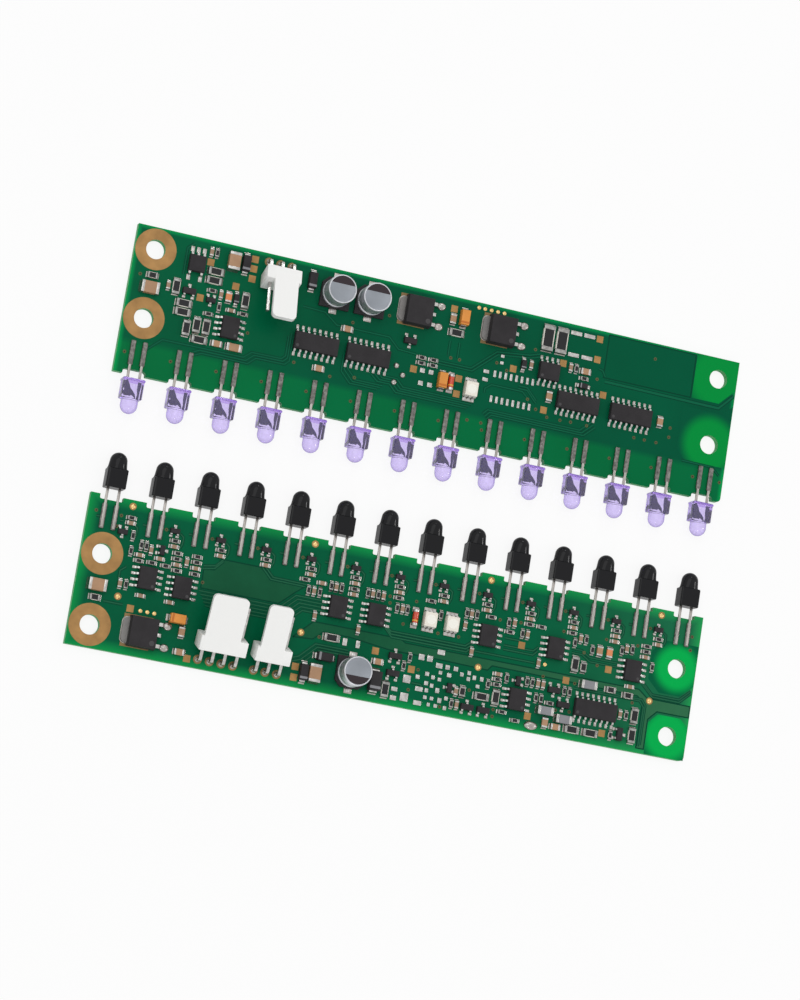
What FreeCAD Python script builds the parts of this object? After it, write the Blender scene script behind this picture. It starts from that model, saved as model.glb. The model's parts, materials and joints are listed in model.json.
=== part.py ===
import FreeCAD, Part
import math
import os
import Sketcher
from FreeCAD import Placement, Rotation, Vector

# Area sensor: an emitter board and a receiver board that lie flat with their beam rows face to face.
# X runs along the boards, Y across them with the emitter at +Y, and Z rises from the boards' undersides.

# Driving dimensions, in millimetres and degrees
SIZES = [
    ("beam_count", 14, "beams in the row"),
    ("beam_pitch", 10.0, "beam to beam"),
    ("end_margin", 4.5, "board end to the first beam and to the mounting holes"),
    ("beam_gap", 26.0, "beam edge of one board to beam edge of the other"),
    ("board_width", 32.0, "beam edge to back edge"),
    ("board_thickness", 1.6, "laminate"),
    ("notch_width", 5.0, "notch under each pair of leads"),
    ("notch_depth", 1.0, "notch into the beam edge"),
    ("hole_diameter", 4.2, "mounting hole"),
    ("hole_back_margin", 4.75, "back edge to the first mounting hole"),
    ("hole_spacing", 15.0, "mounting hole to mounting hole across the board"),
    ("lead_width", 0.55, "square lead of a lamp or sensor"),
    ("lead_spacing", 2.54, "lead to lead"),
    ("lead_on_board", 6.9, "beam edge to the inner end of a lead"),
    ("dome_sides", 10, "flats round a lens dome"),
    ("lamp_standoff", 1.1, "beam edge to the back of a lamp lens"),
    ("lamp_width", 4.5, "lamp lens block"),
    ("lamp_thickness", 3.6, "lamp lens block"),
    ("lamp_block", 4.3, "length of the lamp lens block"),
    ("lamp_dome", 3.7, "diameter of the lamp dome"),
    ("lamp_nose", 3.2, "lamp dome past its block"),
    ("sensor_standoff", 1.5, "beam edge to the back of a sensor lens"),
    ("sensor_width", 4.4, "sensor lens block"),
    ("sensor_thickness", 3.6, "sensor lens block"),
    ("sensor_block", 4.1, "length of the sensor lens block"),
    ("sensor_dome", 3.7, "diameter of the sensor dome"),
    ("sensor_nose", 3.6, "sensor dome past its block"),
    ("header_pitch", 2.54, "header pin to header pin"),
    ("header_pin", 0.64, "square header pin"),
    ("header_clearance", 2.0, "side of one header to the side of the next"),
    ("header_edge", 1.95, "back edge to the row of header pins"),
    ("header_tilt", 18.0, "rise of the plug side of a header"),
    ("header_setback", 3.1, "pin row to the foot of the header base"),
    ("header_depth", 3.2, "header base, along its pins"),
    ("header_height", 5.2, "header base, across its pins"),
    ("header_pin_height", 2.9, "foot of the header base to its pins"),
    ("header_pin_reach", 6.9, "pins past the header base"),
    ("header_plate", 1.1, "thickness of the locking plate"),
    ("header_plate_inset", 0.6, "end of the base to the locking plate"),
    ("header_plate_extra", 0.1, "locking plate past the pins that it covers"),
    ("header_plate_reach", 9.0, "locking plate past the header base"),
    ("header_plate_corner", 0.9, "cut corners of the locking plate"),
    ("ridge_offset", 2.0, "tip of the locking plate to its ridge"),
    ("ridge_length", 1.4, "lock ridge, along the pins"),
    ("ridge_height", 0.5, "lock ridge under the plate"),
    ("can_diameter", 6.3, "electrolytic capacitor can"),
    ("can_height", 5.2, "can above its base"),
    ("can_base", 6.6, "square base of a can"),
    ("can_base_height", 0.8, "base of a can"),
    ("can_base_corner", 1.3, "two cut corners of the base"),
    ("can_tab_width", 0.8, "tab of a can"),
    ("can_tab_reach", 0.9, "tab past the base"),
    ("can_tab_thickness", 0.25, "tab of a can"),
    ("regulator_length", 6.1, "regulator body, tab side to lead side"),
    ("regulator_width", 6.5, "regulator body"),
    ("regulator_height", 2.3, "regulator body"),
    ("regulator_bevel", 0.5, "bevel over the tab"),
    ("tab_width", 5.3, "regulator tab"),
    ("tab_reach", 1.3, "regulator tab past its body"),
    ("tab_thickness", 0.6, "regulator tab"),
    ("regulator_lead_width", 0.75, "regulator lead"),
    ("regulator_lead_reach", 2.7, "regulator lead past its body"),
    ("regulator_lead_pitch", 2.28, "regulator lead to middle stub"),
    ("stub_reach", 0.8, "cut middle lead"),
    ("chip_pitch", 1.27, "chip pin to chip pin"),
    ("chip_width", 3.9, "chip body between its rows of pins"),
    ("chip_height", 1.5, "chip body"),
    ("chip_bevel", 0.4, "bevel along one top edge of a chip"),
    ("chip_end", 0.5, "chip body past its outer pins"),
    ("chip_pin_width", 0.42, "chip pin"),
    ("chip_pin_thickness", 0.2, "chip pin"),
    ("chip_pin_reach", 1.05, "chip pin past its body"),
    ("chip_pin_height", 0.55, "board to where a pin leaves its body"),
    ("transistor_length", 2.9, "transistor body"),
    ("transistor_width", 1.35, "transistor body"),
    ("transistor_height", 1.0, "transistor body"),
    ("switch_length", 2.1, "small transistor body"),
    ("switch_width", 1.15, "small transistor body"),
    ("switch_height", 0.9, "small transistor body"),
    ("booster_length", 3.6, "five-lead booster body"),
    ("booster_height", 1.4, "five-lead booster body"),
    ("small_chip_length", 1.65, "smallest chip resistor or capacitor"),
    ("small_chip_width", 0.82, "smallest chip resistor or capacitor"),
    ("small_chip_height", 0.5, "smallest chip resistor or capacitor"),
    ("medium_chip_length", 2.1, "middle chip resistor or capacitor"),
    ("medium_chip_width", 1.3, "middle chip resistor or capacitor"),
    ("medium_chip_height", 0.6, "middle chip resistor or capacitor"),
    ("large_chip_length", 3.2, "large chip resistor or capacitor"),
    ("large_chip_width", 1.6, "large chip resistor or capacitor"),
    ("large_chip_height", 0.65, "large chip resistor or capacitor"),
    ("bulk_length", 3.8, "bulk ceramic capacitor"),
    ("bulk_width", 2.5, "bulk ceramic capacitor"),
    ("bulk_height", 1.6, "bulk ceramic capacitor"),
    ("power_length", 5.6, "power resistor"),
    ("power_width", 2.6, "power resistor"),
    ("power_height", 0.7, "power resistor"),
    ("tantalum_length", 3.4, "tantalum capacitor"),
    ("tantalum_width", 2.0, "tantalum capacitor"),
    ("tantalum_height", 1.7, "tantalum capacitor"),
    ("block_length", 3.6, "grey block capacitor"),
    ("block_width", 1.75, "grey block capacitor"),
    ("block_height", 1.3, "grey block capacitor"),
    ("rectifier_length", 4.2, "rectifier diode"),
    ("rectifier_width", 1.8, "rectifier diode"),
    ("rectifier_height", 1.5, "rectifier diode"),
    ("suppressor_length", 4.9, "surge diode"),
    ("suppressor_width", 2.5, "surge diode"),
    ("suppressor_height", 2.2, "surge diode"),
    ("signal_diode_length", 2.7, "signal diode"),
    ("signal_diode_width", 1.2, "signal diode"),
    ("signal_diode_height", 1.0, "signal diode"),
    ("glass_diode_length", 3.5, "glass diode"),
    ("glass_diode_diameter", 1.5, "glass diode, over its flats' corners"),
    ("status_length", 3.3, "status lamp, across the board"),
    ("status_width", 2.9, "status lamp, along the board"),
    ("status_height", 1.9, "status lamp"),
]

# The layout grid that component places are read on, as long and as wide as the board is drawn
LAYOUT_LENGTH = 139.0
LAYOUT_WIDTH = 32.0
ALONG = 0
ACROSS = 90

# Latitudes of a lens dome's two upper rings, in degrees
DOME_ANGLES = (35, 75)

BOARD_LENGTH = "(2 * sizes.end_margin + (sizes.beam_count - 1) * sizes.beam_pitch)"

# Component places: distance from the left end, then from the emitter's back edge or the receiver's beam edge
EMITTER_HEADER_TO_CAN = 12.9
EMITTER_CANS = [(44.5, 5.4), (52.4, 5.4)]
EMITTER_REGULATORS = [(63.3, 5.2), (82.6, 5.3)]
EMITTER_LOGIC = [(42.0, 17.2, ALONG), (53.7, 17.2, ALONG), (102.3, 17.3, ALONG), (114.9, 17.3, ALONG)]
EMITTER_DRIVERS = [(22.9, 17.9, ACROSS), (94.7, 11.8, ALONG)]
EMITTER_TRANSISTORS = [(13.0, 12.0, ALONG), (62.6, 11.9, ALONG)]
EMITTER_SWITCHES = [(17.9, 12.9, ALONG)]
EMITTER_BOOSTERS = [(13.6, 5.9, ALONG)]
EMITTER_POWER = [(93.5, 4.4, ACROSS), (96.7, 4.4, ACROSS)]
EMITTER_SMALL_RESISTORS = [
    (17.6, 2.6, ACROSS), (17.9, 10.8, ALONG), (19.9, 14.0, ACROSS), (25.3, 14.3, ALONG),
    (17.9, 15.9, ALONG), (65.8, 14.9, ALONG), (65.8, 16.1, ALONG), (68.5, 14.9, ALONG),
    (68.5, 16.1, ALONG), (101.0, 9.7, ACROSS), (103.1, 11.5, ALONG),
]
EMITTER_MEDIUM_RESISTORS = [(4.7, 10.4, ALONG)]
EMITTER_LARGE_RESISTORS = [
    (10.1, 11.6, ACROSS), (18.0, 6.6, ALONG), (17.9, 8.6, ALONG), (25.3, 11.4, ACROSS),
    (12.3, 14.8, ALONG), (12.3, 16.7, ALONG), (13.7, 19.9, ACROSS), (15.8, 18.8, ACROSS),
    (17.9, 18.8, ACROSS), (16.8, 21.8, ALONG), (72.6, 7.9, ALONG),
]
EMITTER_SMALL_CAPACITORS = [
    (8.4, 11.7, ACROSS), (16.4, 2.6, ACROSS), (19.9, 11.2, ACROSS), (22.6, 14.1, ALONG),
    (90.6, 11.1, ACROSS), (99.7, 9.7, ACROSS),
]
EMITTER_MEDIUM_CAPACITORS = [
    (21.6, 11.4, ACROSS), (20.7, 21.8, ALONG), (48.4, 12.4, ALONG), (43.5, 22.2, ALONG),
    (71.4, 5.0, ACROSS), (95.7, 17.1, ACROSS), (103.2, 9.9, ALONG), (122.1, 17.2, ACROSS),
]
EMITTER_LARGE_CAPACITORS = [(24.5, 21.8, ALONG)]
EMITTER_BULK = [(4.5, 13.2, ALONG), (21.4, 3.6, ACROSS)]
EMITTER_TANTALUMS = [(73.8, 4.3, ACROSS), (71.0, 18.9, ACROSS)]
EMITTER_RECTIFIERS = [(24.1, 3.5, ACROSS), (39.0, 3.8, ACROSS)]
EMITTER_SIGNAL_DIODES = [(23.3, 11.4, ACROSS), (88.8, 11.4, ACROSS), (103.1, 13.2, ALONG)]
EMITTER_GLASS_DIODES = [(73.0, 18.9)]
EMITTER_STATUS = [(77.6, 19.5, ACROSS)]

RECEIVER_HEADER_TO_CAN = 18.4
RECEIVER_CANS = [(61.3, 26.8)]
RECEIVER_REGULATORS = [(15.6, 26.9)]
RECEIVER_LOGIC = [(116.8, 24.7, ALONG)]
RECEIVER_AMPLIFIERS = [
    (14.6, 15.6, ACROSS), (22.2, 16.2, ACROSS), (56.1, 13.7, ACROSS), (64.7, 13.7, ACROSS),
    (90.1, 13.4, ACROSS), (105.7, 13.2, ACROSS), (124.0, 14.7, ACROSS), (98.7, 25.7, ACROSS),
]
RECEIVER_TRANSISTORS = [
    (70.4, 21.5, ALONG), (70.4, 25.2, ALONG), (106.9, 22.1, ALONG), (109.4, 24.9, ALONG),
    (123.2, 28.8, ACROSS), (87.9, 29.3, ALONG), (91.6, 29.3, ALONG),
]
RECEIVER_SWITCHES = [
    (7.9, 7.0, ALONG), (16.8, 9.2, ACROSS), (83.4, 26.0, ACROSS), (98.5, 21.7, ACROSS),
]
# One small transistor beside each sensor but the first, with its own pair of chips below it
CHANNEL_SWITCH = (4.3, 4.7)
CHANNEL_RESISTOR = (4.7, 6.75)
CHANNEL_CAPACITOR = (4.7, 7.95)
RECEIVER_SMALL_RESISTORS = [
    (9.3, 3.8, ALONG), (10.2, 7.4, ACROSS), (10.3, 10.6, ACROSS), (12.3, 9.0, ACROSS), (13.4, 9.0, ACROSS),
    (12.3, 12.3, ALONG), (15.1, 12.2, ALONG), (18.1, 12.3, ALONG), (20.2, 9.2, ALONG), (20.2, 10.4, ALONG),
    (20.6, 12.8, ALONG), (24.5, 9.1, ALONG), (24.5, 10.3, ALONG), (24.5, 12.8, ALONG), (10.5, 17.7, ACROSS),
    (48.2, 9.2, ALONG), (49.3, 11.3, ACROSS), (51.8, 11.3, ACROSS), (54.1, 9.5, ACROSS), (56.4, 9.5, ACROSS),
    (59.2, 9.2, ALONG), (62.3, 9.4, ACROSS), (64.6, 9.4, ACROSS), (69.2, 9.15, ALONG), (69.2, 11.3, ACROSS),
    (71.5, 11.3, ACROSS), (76.5, 8.4, ALONG), (79.1, 11.0, ACROSS), (84.8, 9.4, ACROSS), (87.1, 9.4, ACROSS),
    (90.4, 9.25, ALONG), (94.5, 9.7, ACROSS), (95.0, 11.6, ALONG), (97.9, 11.4, ACROSS), (99.2, 9.15, ALONG),
    (102.0, 9.2, ALONG), (109.2, 9.15, ALONG), (110.1, 11.1, ACROSS), (112.6, 10.0, ACROSS),
    (114.3, 11.9, ACROSS), (121.1, 10.8, ACROSS), (123.5, 10.1, ACROSS), (126.7, 8.8, ALONG),
    (126.7, 10.0, ALONG), (128.6, 13.1, ACROSS), (72.6, 23.2, ACROSS), (73.7, 21.2, ACROSS),
    (84.4, 29.2, ACROSS), (91.9, 23.6, ACROSS), (93.8, 22.2, ALONG), (93.8, 23.35, ALONG),
    (95.9, 21.5, ACROSS), (100.6, 21.4, ACROSS), (101.8, 21.4, ACROSS), (103.1, 24.5, ACROSS),
    (104.3, 24.5, ACROSS), (95.9, 28.9, ALONG), (99.1, 30.2, ALONG), (109.3, 21.9, ACROSS),
    (110.5, 21.9, ACROSS), (106.4, 25.1, ALONG), (121.2, 29.4, ACROSS), (124.2, 24.5, ACROSS),
]
RECEIVER_MEDIUM_RESISTORS = [
    (4.5, 21.5, ALONG), (86.4, 26.2, ACROSS), (119.8, 19.7, ALONG), (123.9, 20.2, ALONG), (112.8, 16.0, ACROSS),
]
RECEIVER_LARGE_RESISTORS = [
    (55.9, 20.3, ALONG), (69.3, 28.9, ACROSS), (90.8, 26.5, ALONG), (94.0, 26.1, ACROSS),
    (110.8, 15.7, ACROSS), (112.2, 29.8, ALONG), (116.5, 29.8, ALONG), (126.1, 24.3, ACROSS),
    (126.1, 28.6, ACROSS),
]
RECEIVER_SMALL_CAPACITORS = [
    (9.3, 4.9, ALONG), (14.5, 9.6, ACROSS), (12.3, 11.1, ALONG), (16.6, 11.05, ALONG), (20.4, 11.6, ALONG),
    (22.4, 10.6, ACROSS), (24.5, 11.55, ALONG), (9.2, 17.7, ACROSS), (13.9, 19.4, ALONG), (20.2, 19.6, ALONG),
    (52.0, 9.3, ALONG), (50.5, 11.3, ACROSS), (55.2, 9.5, ACROSS), (59.2, 10.35, ALONG), (63.4, 9.4, ACROSS),
    (65.8, 9.4, ACROSS), (70.4, 11.3, ACROSS), (51.5, 16.4, ACROSS), (61.4, 17.5, ACROSS), (85.9, 9.4, ACROSS),
    (84.8, 12.1, ACROSS), (87.1, 17.4, ACROSS), (95.8, 9.5, ACROSS), (99.1, 11.4, ACROSS), (102.5, 17.0, ACROSS),
    (111.3, 10.0, ACROSS), (119.2, 9.15, ALONG), (122.2, 10.2, ACROSS), (126.7, 11.2, ALONG), (124.1, 18.2, ALONG),
    (85.6, 29.2, ACROSS), (85.0, 26.4, ACROSS), (93.8, 21.05, ALONG), (103.1, 21.4, ACROSS),
    (104.3, 21.4, ACROSS), (122.8, 24.5, ACROSS),
]
RECEIVER_MEDIUM_CAPACITORS = [
    (23.8, 25.2, ACROSS), (24.0, 29.4, ALONG), (66.8, 23.4, ALONG), (116.0, 11.8, ACROSS), (118.3, 11.8, ACROSS),
    (105.9, 29.4, ACROSS), (108.4, 29.9, ALONG),
]
RECEIVER_BULK = [(4.5, 18.9, ALONG), (53.4, 28.4, ACROSS)]
RECEIVER_TANTALUMS = [(22.4, 22.7, ALONG)]
RECEIVER_BLOCKS = [(114.5, 19.6, ALONG), (105.5, 26.9, ALONG), (109.9, 28.0, ALONG)]
RECEIVER_RECTIFIERS = [(51.0, 28.6, ACROSS), (55.0, 24.6, ALONG)]
RECEIVER_SUPPRESSORS = [(66.6, 27.6, ACROSS)]
RECEIVER_GLASS_DIODES = [(73.4, 12.6)]
RECEIVER_STATUS = [(76.6, 12.5, ACROSS), (81.6, 12.5, ACROSS)]

doc = FreeCAD.newDocument("area_sensor")
sheet = doc.addObject("Spreadsheet::Sheet", "sizes")
for row, (alias, number, note) in enumerate(SIZES, start=1):
    sheet.set(f"A{row}", alias)
    sheet.set(f"B{row}", str(number))
    sheet.setAlias(f"B{row}", alias)
    sheet.set(f"C{row}", note)
doc.recompute()

nodes = []


def size(alias):
    return float(sheet.get(alias))


def node(thing, label):
    """Name a finished sub-part and list it for writing."""
    thing.Label = label
    nodes.append(thing)
    return thing


def bind(thing, **expressions):
    for name, text in expressions.items():
        thing.setExpression(name, text)
    return thing


def box(name, length, width, height):
    """A box centred on Z that stands on Z = 0, with its sizes bound to expressions."""
    block = doc.addObject("Part::Box", name)
    bind(block, Length=length, Width=width, Height=height)
    block.setExpression("Placement.Base.x", f"-({length}) / 2")
    block.setExpression("Placement.Base.y", f"-({width}) / 2")
    return block


def sized_box(name, family):
    """A box whose length, width and height are three cells of one family."""
    return box(name, f"sizes.{family}_length", f"sizes.{family}_width", f"sizes.{family}_height")


def edges_at(shape, test):
    """Numbers of the straight edges whose middle and direction pass a test."""
    found = []
    for number, edge in enumerate(shape.Edges, start=1):
        ends = [vertex.Point for vertex in edge.Vertexes]
        if len(ends) == 2 and test((ends[0] + ends[1]) / 2, ends[1] - ends[0]):
            found.append(number)
    return found


def chamfered(name, base, test, cut):
    """A chamfer of one size along the edges of a base that pass a test."""
    doc.recompute()
    chamfer = doc.addObject("Part::Chamfer", name)
    chamfer.Base = base
    chamfer.Edges = [(number, cut, cut) for number in edges_at(base.Shape, test)]
    return chamfer


class Board:
    """Where things sit on one of the two boards."""

    def __init__(self, name, side):
        self.name = name
        self.side = side
        self.length = 2 * size("end_margin") + (size("beam_count") - 1) * size("beam_pitch")
        self.width = size("board_width")
        self.top = size("board_thickness")
        self.beam_edge = size("beam_gap") / 2

    def along(self, x):
        return x * self.length / LAYOUT_LENGTH

    def spot(self, x, y):
        """A place read on the layout grid, as a point on the board's top face."""
        inward = y * self.width / LAYOUT_WIDTH
        if self.side > 0:
            inward = self.width - inward
        return Vector(self.along(x) - self.length / 2, self.side * (self.beam_edge + inward), self.top)

    def seat(self, x, y, turn=ALONG):
        return Placement(self.spot(x, y), Rotation(Vector(0, 0, 1), turn))

    def beams(self):
        """The X of each beam."""
        return [size("end_margin") - self.length / 2 + k * size("beam_pitch") for k in range(int(size("beam_count")))]


emitter = Board("emitter", 1)
receiver = Board("receiver", -1)


def copies(prototype, placements):
    """Copies of a prototype's shape, each moved by a placement."""
    moved = []
    for placement in placements:
        shape = prototype.Shape.copy()
        shape.Placement = placement.multiply(shape.Placement)
        moved.append(shape)
    return moved


def group(label, shapes):
    """Like pieces that share a node, each a solid of its own."""
    thing = doc.addObject("Part::Feature", label)
    thing.Shape = Part.makeCompound(shapes)
    return node(thing, label)


def scatter(label, board, *families):
    """One node of several families of pieces: each a prototype and its places."""
    doc.recompute()
    shapes = []
    for prototype, places in families:
        shapes += copies(prototype, [board.seat(*place) for place in places])
    return group(label, shapes)


# Circuit boards

def base_sketch(body, name):
    sketch = body.newObject("Sketcher::SketchObject", name)
    plane = next(part for part in body.Origin.OriginFeatures if part.Role == "XY_Plane")
    sketch.AttachmentSupport = [(plane, "")]
    sketch.MapMode = "FlatFace"
    return sketch


def dimension(sketch, kind, *arguments):
    """A dimension whose last argument is an expression."""
    text = arguments[-1]
    number = float(sketch.evalExpression(text))
    index = sketch.addConstraint(Sketcher.Constraint(kind, *arguments[:-1], number))
    sketch.setExpression(f"Constraints[{index}]", text)


def rectangle(sketch, left, low, width, depth):
    """A rectangle from four expressions; a left or low of None lies on the sketch's axis."""
    x0 = 0 if left is None else float(sketch.evalExpression(left))
    y0 = 0 if low is None else float(sketch.evalExpression(low))
    x1 = x0 + float(sketch.evalExpression(width))
    y1 = y0 + float(sketch.evalExpression(depth))
    corners = [Vector(x0, y0, 0), Vector(x1, y0, 0), Vector(x1, y1, 0), Vector(x0, y1, 0)]
    first = sketch.GeometryCount
    for k in range(4):
        sketch.addGeometry(Part.LineSegment(corners[k], corners[(k + 1) % 4]), False)
    for k in range(4):
        sketch.addConstraint(Sketcher.Constraint("Coincident", first + k, 2, first + (k + 1) % 4, 1))
    for k in (0, 2):
        sketch.addConstraint(Sketcher.Constraint("Horizontal", first + k))
        sketch.addConstraint(Sketcher.Constraint("Vertical", first + k + 1))
    dimension(sketch, "DistanceX", first, 1, first, 2, width)
    dimension(sketch, "DistanceY", first + 1, 1, first + 1, 2, depth)
    if left is None:
        sketch.addConstraint(Sketcher.Constraint("PointOnObject", first, 1, -2))
    else:
        dimension(sketch, "DistanceX", -1, 1, first, 1, left)
    if low is None:
        sketch.addConstraint(Sketcher.Constraint("PointOnObject", first, 1, -1))
    else:
        dimension(sketch, "DistanceY", -1, 1, first, 1, low)


def circle(sketch, x, y, diameter):
    centre = Vector(float(sketch.evalExpression(x)), float(sketch.evalExpression(y)), 0)
    index = sketch.addGeometry(Part.Circle(centre, Vector(0, 0, 1), size("hole_diameter") / 2), False)
    dimension(sketch, "Diameter", index, diameter)
    dimension(sketch, "DistanceX", -1, 1, index, 3, x)
    dimension(sketch, "DistanceY", -1, 1, index, 3, y)


def through_pocket(body, sketch, name):
    """A pocket upwards through the whole board."""
    pocket = body.newObject("PartDesign::Pocket", name)
    pocket.Profile = sketch
    pocket.Type = "ThroughAll"
    pocket.Reversed = True
    return pocket


def pin_offset(ways, k):
    """Header pin k of a row, from the middle of the row, in header pitches."""
    return k - (ways - 1) / 2


def circuit_board(board, headers):
    """A routed board: outline, mounting holes, header pin holes and a row of notches under the leads."""
    body = doc.addObject("PartDesign::Body", f"{board.name}_board_body")
    outline = base_sketch(body, f"{board.name}_outline")
    rectangle(outline, None, None, BOARD_LENGTH, "sizes.board_width")
    pad = body.newObject("PartDesign::Pad", f"{board.name}_laminate")
    pad.Profile = outline
    bind(pad, Length="sizes.board_thickness")

    mounting = base_sketch(body, f"{board.name}_mounting")
    for x in ("sizes.end_margin", f"{BOARD_LENGTH} - sizes.end_margin"):
        for row in (0, 1):
            y = f"sizes.board_width - sizes.hole_back_margin - {row} * sizes.hole_spacing"
            circle(mounting, x, y, "sizes.hole_diameter")
    through_pocket(body, mounting, f"{board.name}_mounting_holes")

    pins = base_sketch(body, f"{board.name}_pin_squares")
    for centre, ways in headers:
        for k in range(ways):
            middle = f"{centre} + {pin_offset(ways, k)} * sizes.header_pitch"
            rectangle(pins, f"{middle} - sizes.header_pin / 2",
                      "sizes.board_width - sizes.header_edge - sizes.header_pin / 2",
                      "sizes.header_pin", "sizes.header_pin")
    through_pocket(body, pins, f"{board.name}_pin_holes")

    notch = base_sketch(body, f"{board.name}_notch_outline")
    rectangle(notch, "sizes.end_margin - sizes.notch_width / 2", None, "sizes.notch_width", "sizes.notch_depth")
    cut = through_pocket(body, notch, f"{board.name}_notch")
    row = body.newObject("PartDesign::LinearPattern", f"{board.name}_notch_row")
    row.Originals = [cut]
    row.Direction = (outline, ["H_Axis"])
    bind(row, Length="(sizes.beam_count - 1) * sizes.beam_pitch", Occurrences="sizes.beam_count")
    body.Tip = row

    turn = Rotation() if board.side > 0 else Rotation(Vector(1, 0, 0), 180)
    height = 0 if board.side > 0 else board.top
    body.Placement = Placement(Vector(-board.length / 2, board.side * board.beam_edge, height), turn)
    return node(body, f"{board.name}_board")


# Lamps and sensors

def dome_rings(kind):
    """Corners of the flat-sided dome in rings from the block to the nose."""
    radius = size(f"{kind}_dome") / 2
    straight = size(f"{kind}_block") + size(f"{kind}_nose") - radius
    profile = [(radius, size(f"{kind}_block")), (radius, straight)]
    for angle in DOME_ANGLES:
        bend = math.radians(angle)
        profile.append((radius * math.cos(bend), straight + radius * math.sin(bend)))
    sides = int(size("dome_sides"))
    rings = []
    for reach, height in profile:
        turns = [2 * math.pi * k / sides for k in range(sides)]
        rings.append([Vector(reach * math.cos(turn), reach * math.sin(turn), height) for turn in turns])
    return rings


def lens(kind):
    """A lens block with its domed nose, standing on its back face with the beam along +Z."""
    block = box(f"{kind}_block_solid", f"sizes.{kind}_width", f"sizes.{kind}_thickness", f"sizes.{kind}_block")
    rings = dome_rings(kind)
    loops = [rings[0], rings[-1]]
    for lower, upper in zip(rings, rings[1:]):
        for k in range(len(lower)):
            loops.append([lower[k - 1], lower[k], upper[k], upper[k - 1]])
    faces = [Part.Face(Part.makePolygon(loop + loop[:1])) for loop in loops]
    dome = doc.addObject("Part::Feature", f"{kind}_dome_solid")
    dome.Shape = Part.Solid(Part.Shell(faces))
    whole = doc.addObject("Part::Fuse", f"{kind}_lens")
    whole.Base = block
    whole.Tool = dome
    whole.Refine = True
    return whole


def beam_row(board, kind, lens_label, lead_label):
    """A row of lenses over the notches, each on two leads that lie on the board."""
    lens_piece = lens(kind)
    lead = box(f"{kind}_lead", "sizes.lead_width",
               f"sizes.lead_on_board + sizes.{kind}_standoff", "sizes.lead_width")
    doc.recompute()
    outward = Rotation(Vector(1, 0, 0), 90 * board.side)
    axis_height = board.top + size("lead_width") / 2
    back = board.side * (board.beam_edge - size(f"{kind}_standoff"))
    lenses = [Placement(Vector(x, back, axis_height), outward) for x in board.beams()]
    middle = board.side * (board.beam_edge + (size("lead_on_board") - size(f"{kind}_standoff")) / 2)
    leads = []
    for x in board.beams():
        for hand in (-1, 1):
            leads.append(Placement(Vector(x + hand * size("lead_spacing") / 2, middle, board.top), Rotation()))
    group(lens_label, copies(lens_piece, lenses))
    group(lead_label, copies(lead, leads))


# Friction-lock headers

def beside_can(cans, distance):
    """Expression for the middle of a header's pin row, from the left end, placed from the first can."""
    return f"{BOARD_LENGTH} * {cans[0][0] - distance} / {LAYOUT_LENGTH}"


def beside_header(centre, ways, next_ways):
    """Expression for the middle of a header that stands to the left of another."""
    return f"{centre} - {(ways + next_ways) / 2} * sizes.header_pitch - sizes.header_clearance"


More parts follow.
